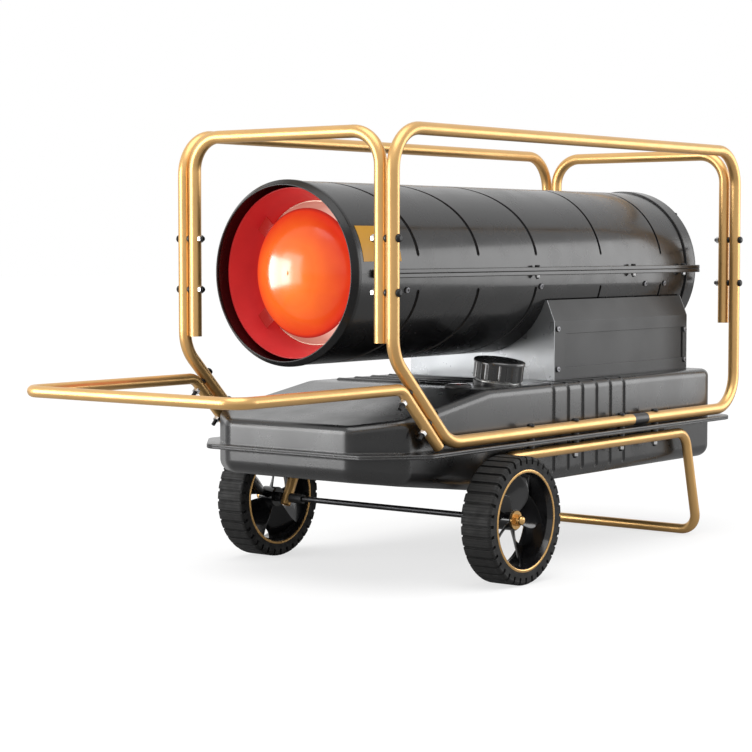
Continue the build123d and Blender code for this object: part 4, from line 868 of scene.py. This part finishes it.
def ray_share(nodes, links, shares):
    """A number that sums a share for each kind of ray, from a Light Path node."""
    path = nodes.new("ShaderNodeLightPath")
    total = None
    for kind, share in shares.items():
        part = nodes.new("ShaderNodeMath")
        part.operation = "MULTIPLY_ADD"
        links.new(path.outputs[kind], part.inputs[0])
        part.inputs[1].default_value = share
        part.inputs[2].default_value = 0.0
        if total:
            links.new(total, part.inputs[2])
        total = part.outputs["Value"]
    return total


def floor_paper():
    """Floor paper that keeps the shadow and otherwise shows as white."""
    material = bpy.data.materials.new("floor_paper")
    material.use_nodes = True
    nodes, links = material.node_tree.nodes, material.node_tree.links
    paper = nodes["Principled BSDF"]
    paper.inputs["Base Color"].default_value = PAPER_SHADE
    paper.inputs["Roughness"].default_value = 0.9
    paper.inputs["Specular IOR Level"].default_value = 0.0
    glow = nodes.new("ShaderNodeEmission")
    links.new(ray_share(nodes, links, PAPER_SHARES), glow.inputs["Strength"])
    both = nodes.new("ShaderNodeAddShader")
    links.new(paper.outputs["BSDF"], both.inputs[0])
    links.new(glow.outputs["Emission"], both.inputs[1])
    links.new(both.outputs["Shader"], nodes["Material Output"].inputs["Surface"])
    return material


def white_world():
    """White surroundings, brighter to the camera and in reflections than as light."""
    world = bpy.data.worlds.new("studio")
    world.use_nodes = True
    nodes, links = world.node_tree.nodes, world.node_tree.links
    background = nodes["Background"]
    background.inputs["Color"].default_value = WORLD_SHADE
    total = nodes.new("ShaderNodeMath")
    total.operation = "ADD"
    total.inputs[1].default_value = WORLD_LEVEL
    links.new(ray_share(nodes, links, WORLD_SHARES), total.inputs[0])
    links.new(total.outputs["Value"], background.inputs["Strength"])
    return world


class HEATER_OT_stage(bpy.types.Operator):
    """Pale floor, white surroundings, soft lamps and the camera"""
    bl_idname = "heater.stage"
    bl_label = "Set Stage"
    bl_options = {"REGISTER", "UNDO"}

    def execute(self, context):
        clear_selection()
        bpy.ops.mesh.primitive_plane_add(size=FLOOR_SIZE, location=(0.0, 0.0, 0.0))
        floor = context.active_object
        floor.name = "floor"
        floor.data.materials.append(floor_paper())
        context.scene.world = white_world()

        sun = bpy.data.lights.new("overhead", "SUN")
        sun.energy = SUN_RADIANCE * pi * sizes().lamp_power
        sun.angle = SUN_ANGLE
        overhead = bpy.data.objects.new("overhead", sun)
        overhead.rotation_euler = SUN_TURN
        context.scene.collection.objects.link(overhead)

        for name, place, width, height, radiance in SOFT_LAMPS:
            soft_lamp(name, place, STAGE_MIDDLE, width, height, radiance)
        mouth = Vector((WINDOW_SIDE, DOME_LOW.y, DOME_MIDDLE.z))
        window = soft_lamp("window", mouth + WINDOW_DIRECTION * WINDOW_DISTANCE, mouth,
                           width=1.3, height=0.75, radiance=17.0)
        window.visible_diffuse = False
        lit = bpy.data.collections.new("window_lights")
        lit.objects.link(NODES["flame_dome"])
        window.light_linking.receiver_collection = lit

        data = bpy.data.cameras.new("camera")
        data.sensor_width = SENSOR_WIDTH
        data.lens = sizes().camera_lens
        data.clip_end = VIEW_END
        camera = bpy.data.objects.new("camera", data)
        camera.location = sizes().camera_place
        camera.rotation_euler = (pi / 2 - sizes().camera_tilt, 0.0, sizes().camera_turn)
        context.scene.collection.objects.link(camera)
        context.scene.camera = camera
        context.scene.view_settings.view_transform = "Standard"
        return {"FINISHED"}


# --- panel and registration ------------------------------------------------------------
STEPS = (HEATER_OT_trolley, HEATER_OT_wheels, HEATER_OT_tank, HEATER_OT_gauge,
         HEATER_OT_barrel, HEATER_OT_burner, HEATER_OT_fan, HEATER_OT_base, HEATER_OT_marks,
         HEATER_OT_stage)


class HEATER_PT_looks(bpy.types.Panel):
    """Settings and steps of the heater's looks"""
    bl_idname = "HEATER_PT_looks"
    bl_label = "Forced Air Heater"
    bl_space_type = "VIEW_3D"
    bl_region_type = "UI"
    bl_category = "Heater"

    def draw(self, context):
        layout = self.layout
        for group in (context.scene.heater_finishes, context.scene.heater_sizes):
            column = layout.column(align=True)
            for name in group.bl_rna.properties.keys():
                if name not in ("rna_type", "name"):
                    column.prop(group, name)
        for step in STEPS:
            layout.operator(step.bl_idname)


CLASSES = (HeaterFinishes, HeaterSizes, *STEPS, HEATER_PT_looks)


def register():
    for item in CLASSES:
        bpy.utils.register_class(item)
    bpy.types.Scene.heater_finishes = PointerProperty(type=HeaterFinishes)
    bpy.types.Scene.heater_sizes = PointerProperty(type=HeaterSizes)


def unregister():
    del bpy.types.Scene.heater_sizes
    del bpy.types.Scene.heater_finishes
    for item in reversed(CLASSES):
        bpy.utils.unregister_class(item)


def main():
    register()
    bpy.ops.heater.trolley()
    bpy.ops.heater.wheels()
    bpy.ops.heater.tank()
    bpy.ops.heater.gauge()
    bpy.ops.heater.barrel()
    bpy.ops.heater.burner()
    bpy.ops.heater.fan()
    bpy.ops.heater.base()
    bpy.ops.heater.marks()
    bpy.ops.heater.stage()


if __name__ == "__main__":
    main()
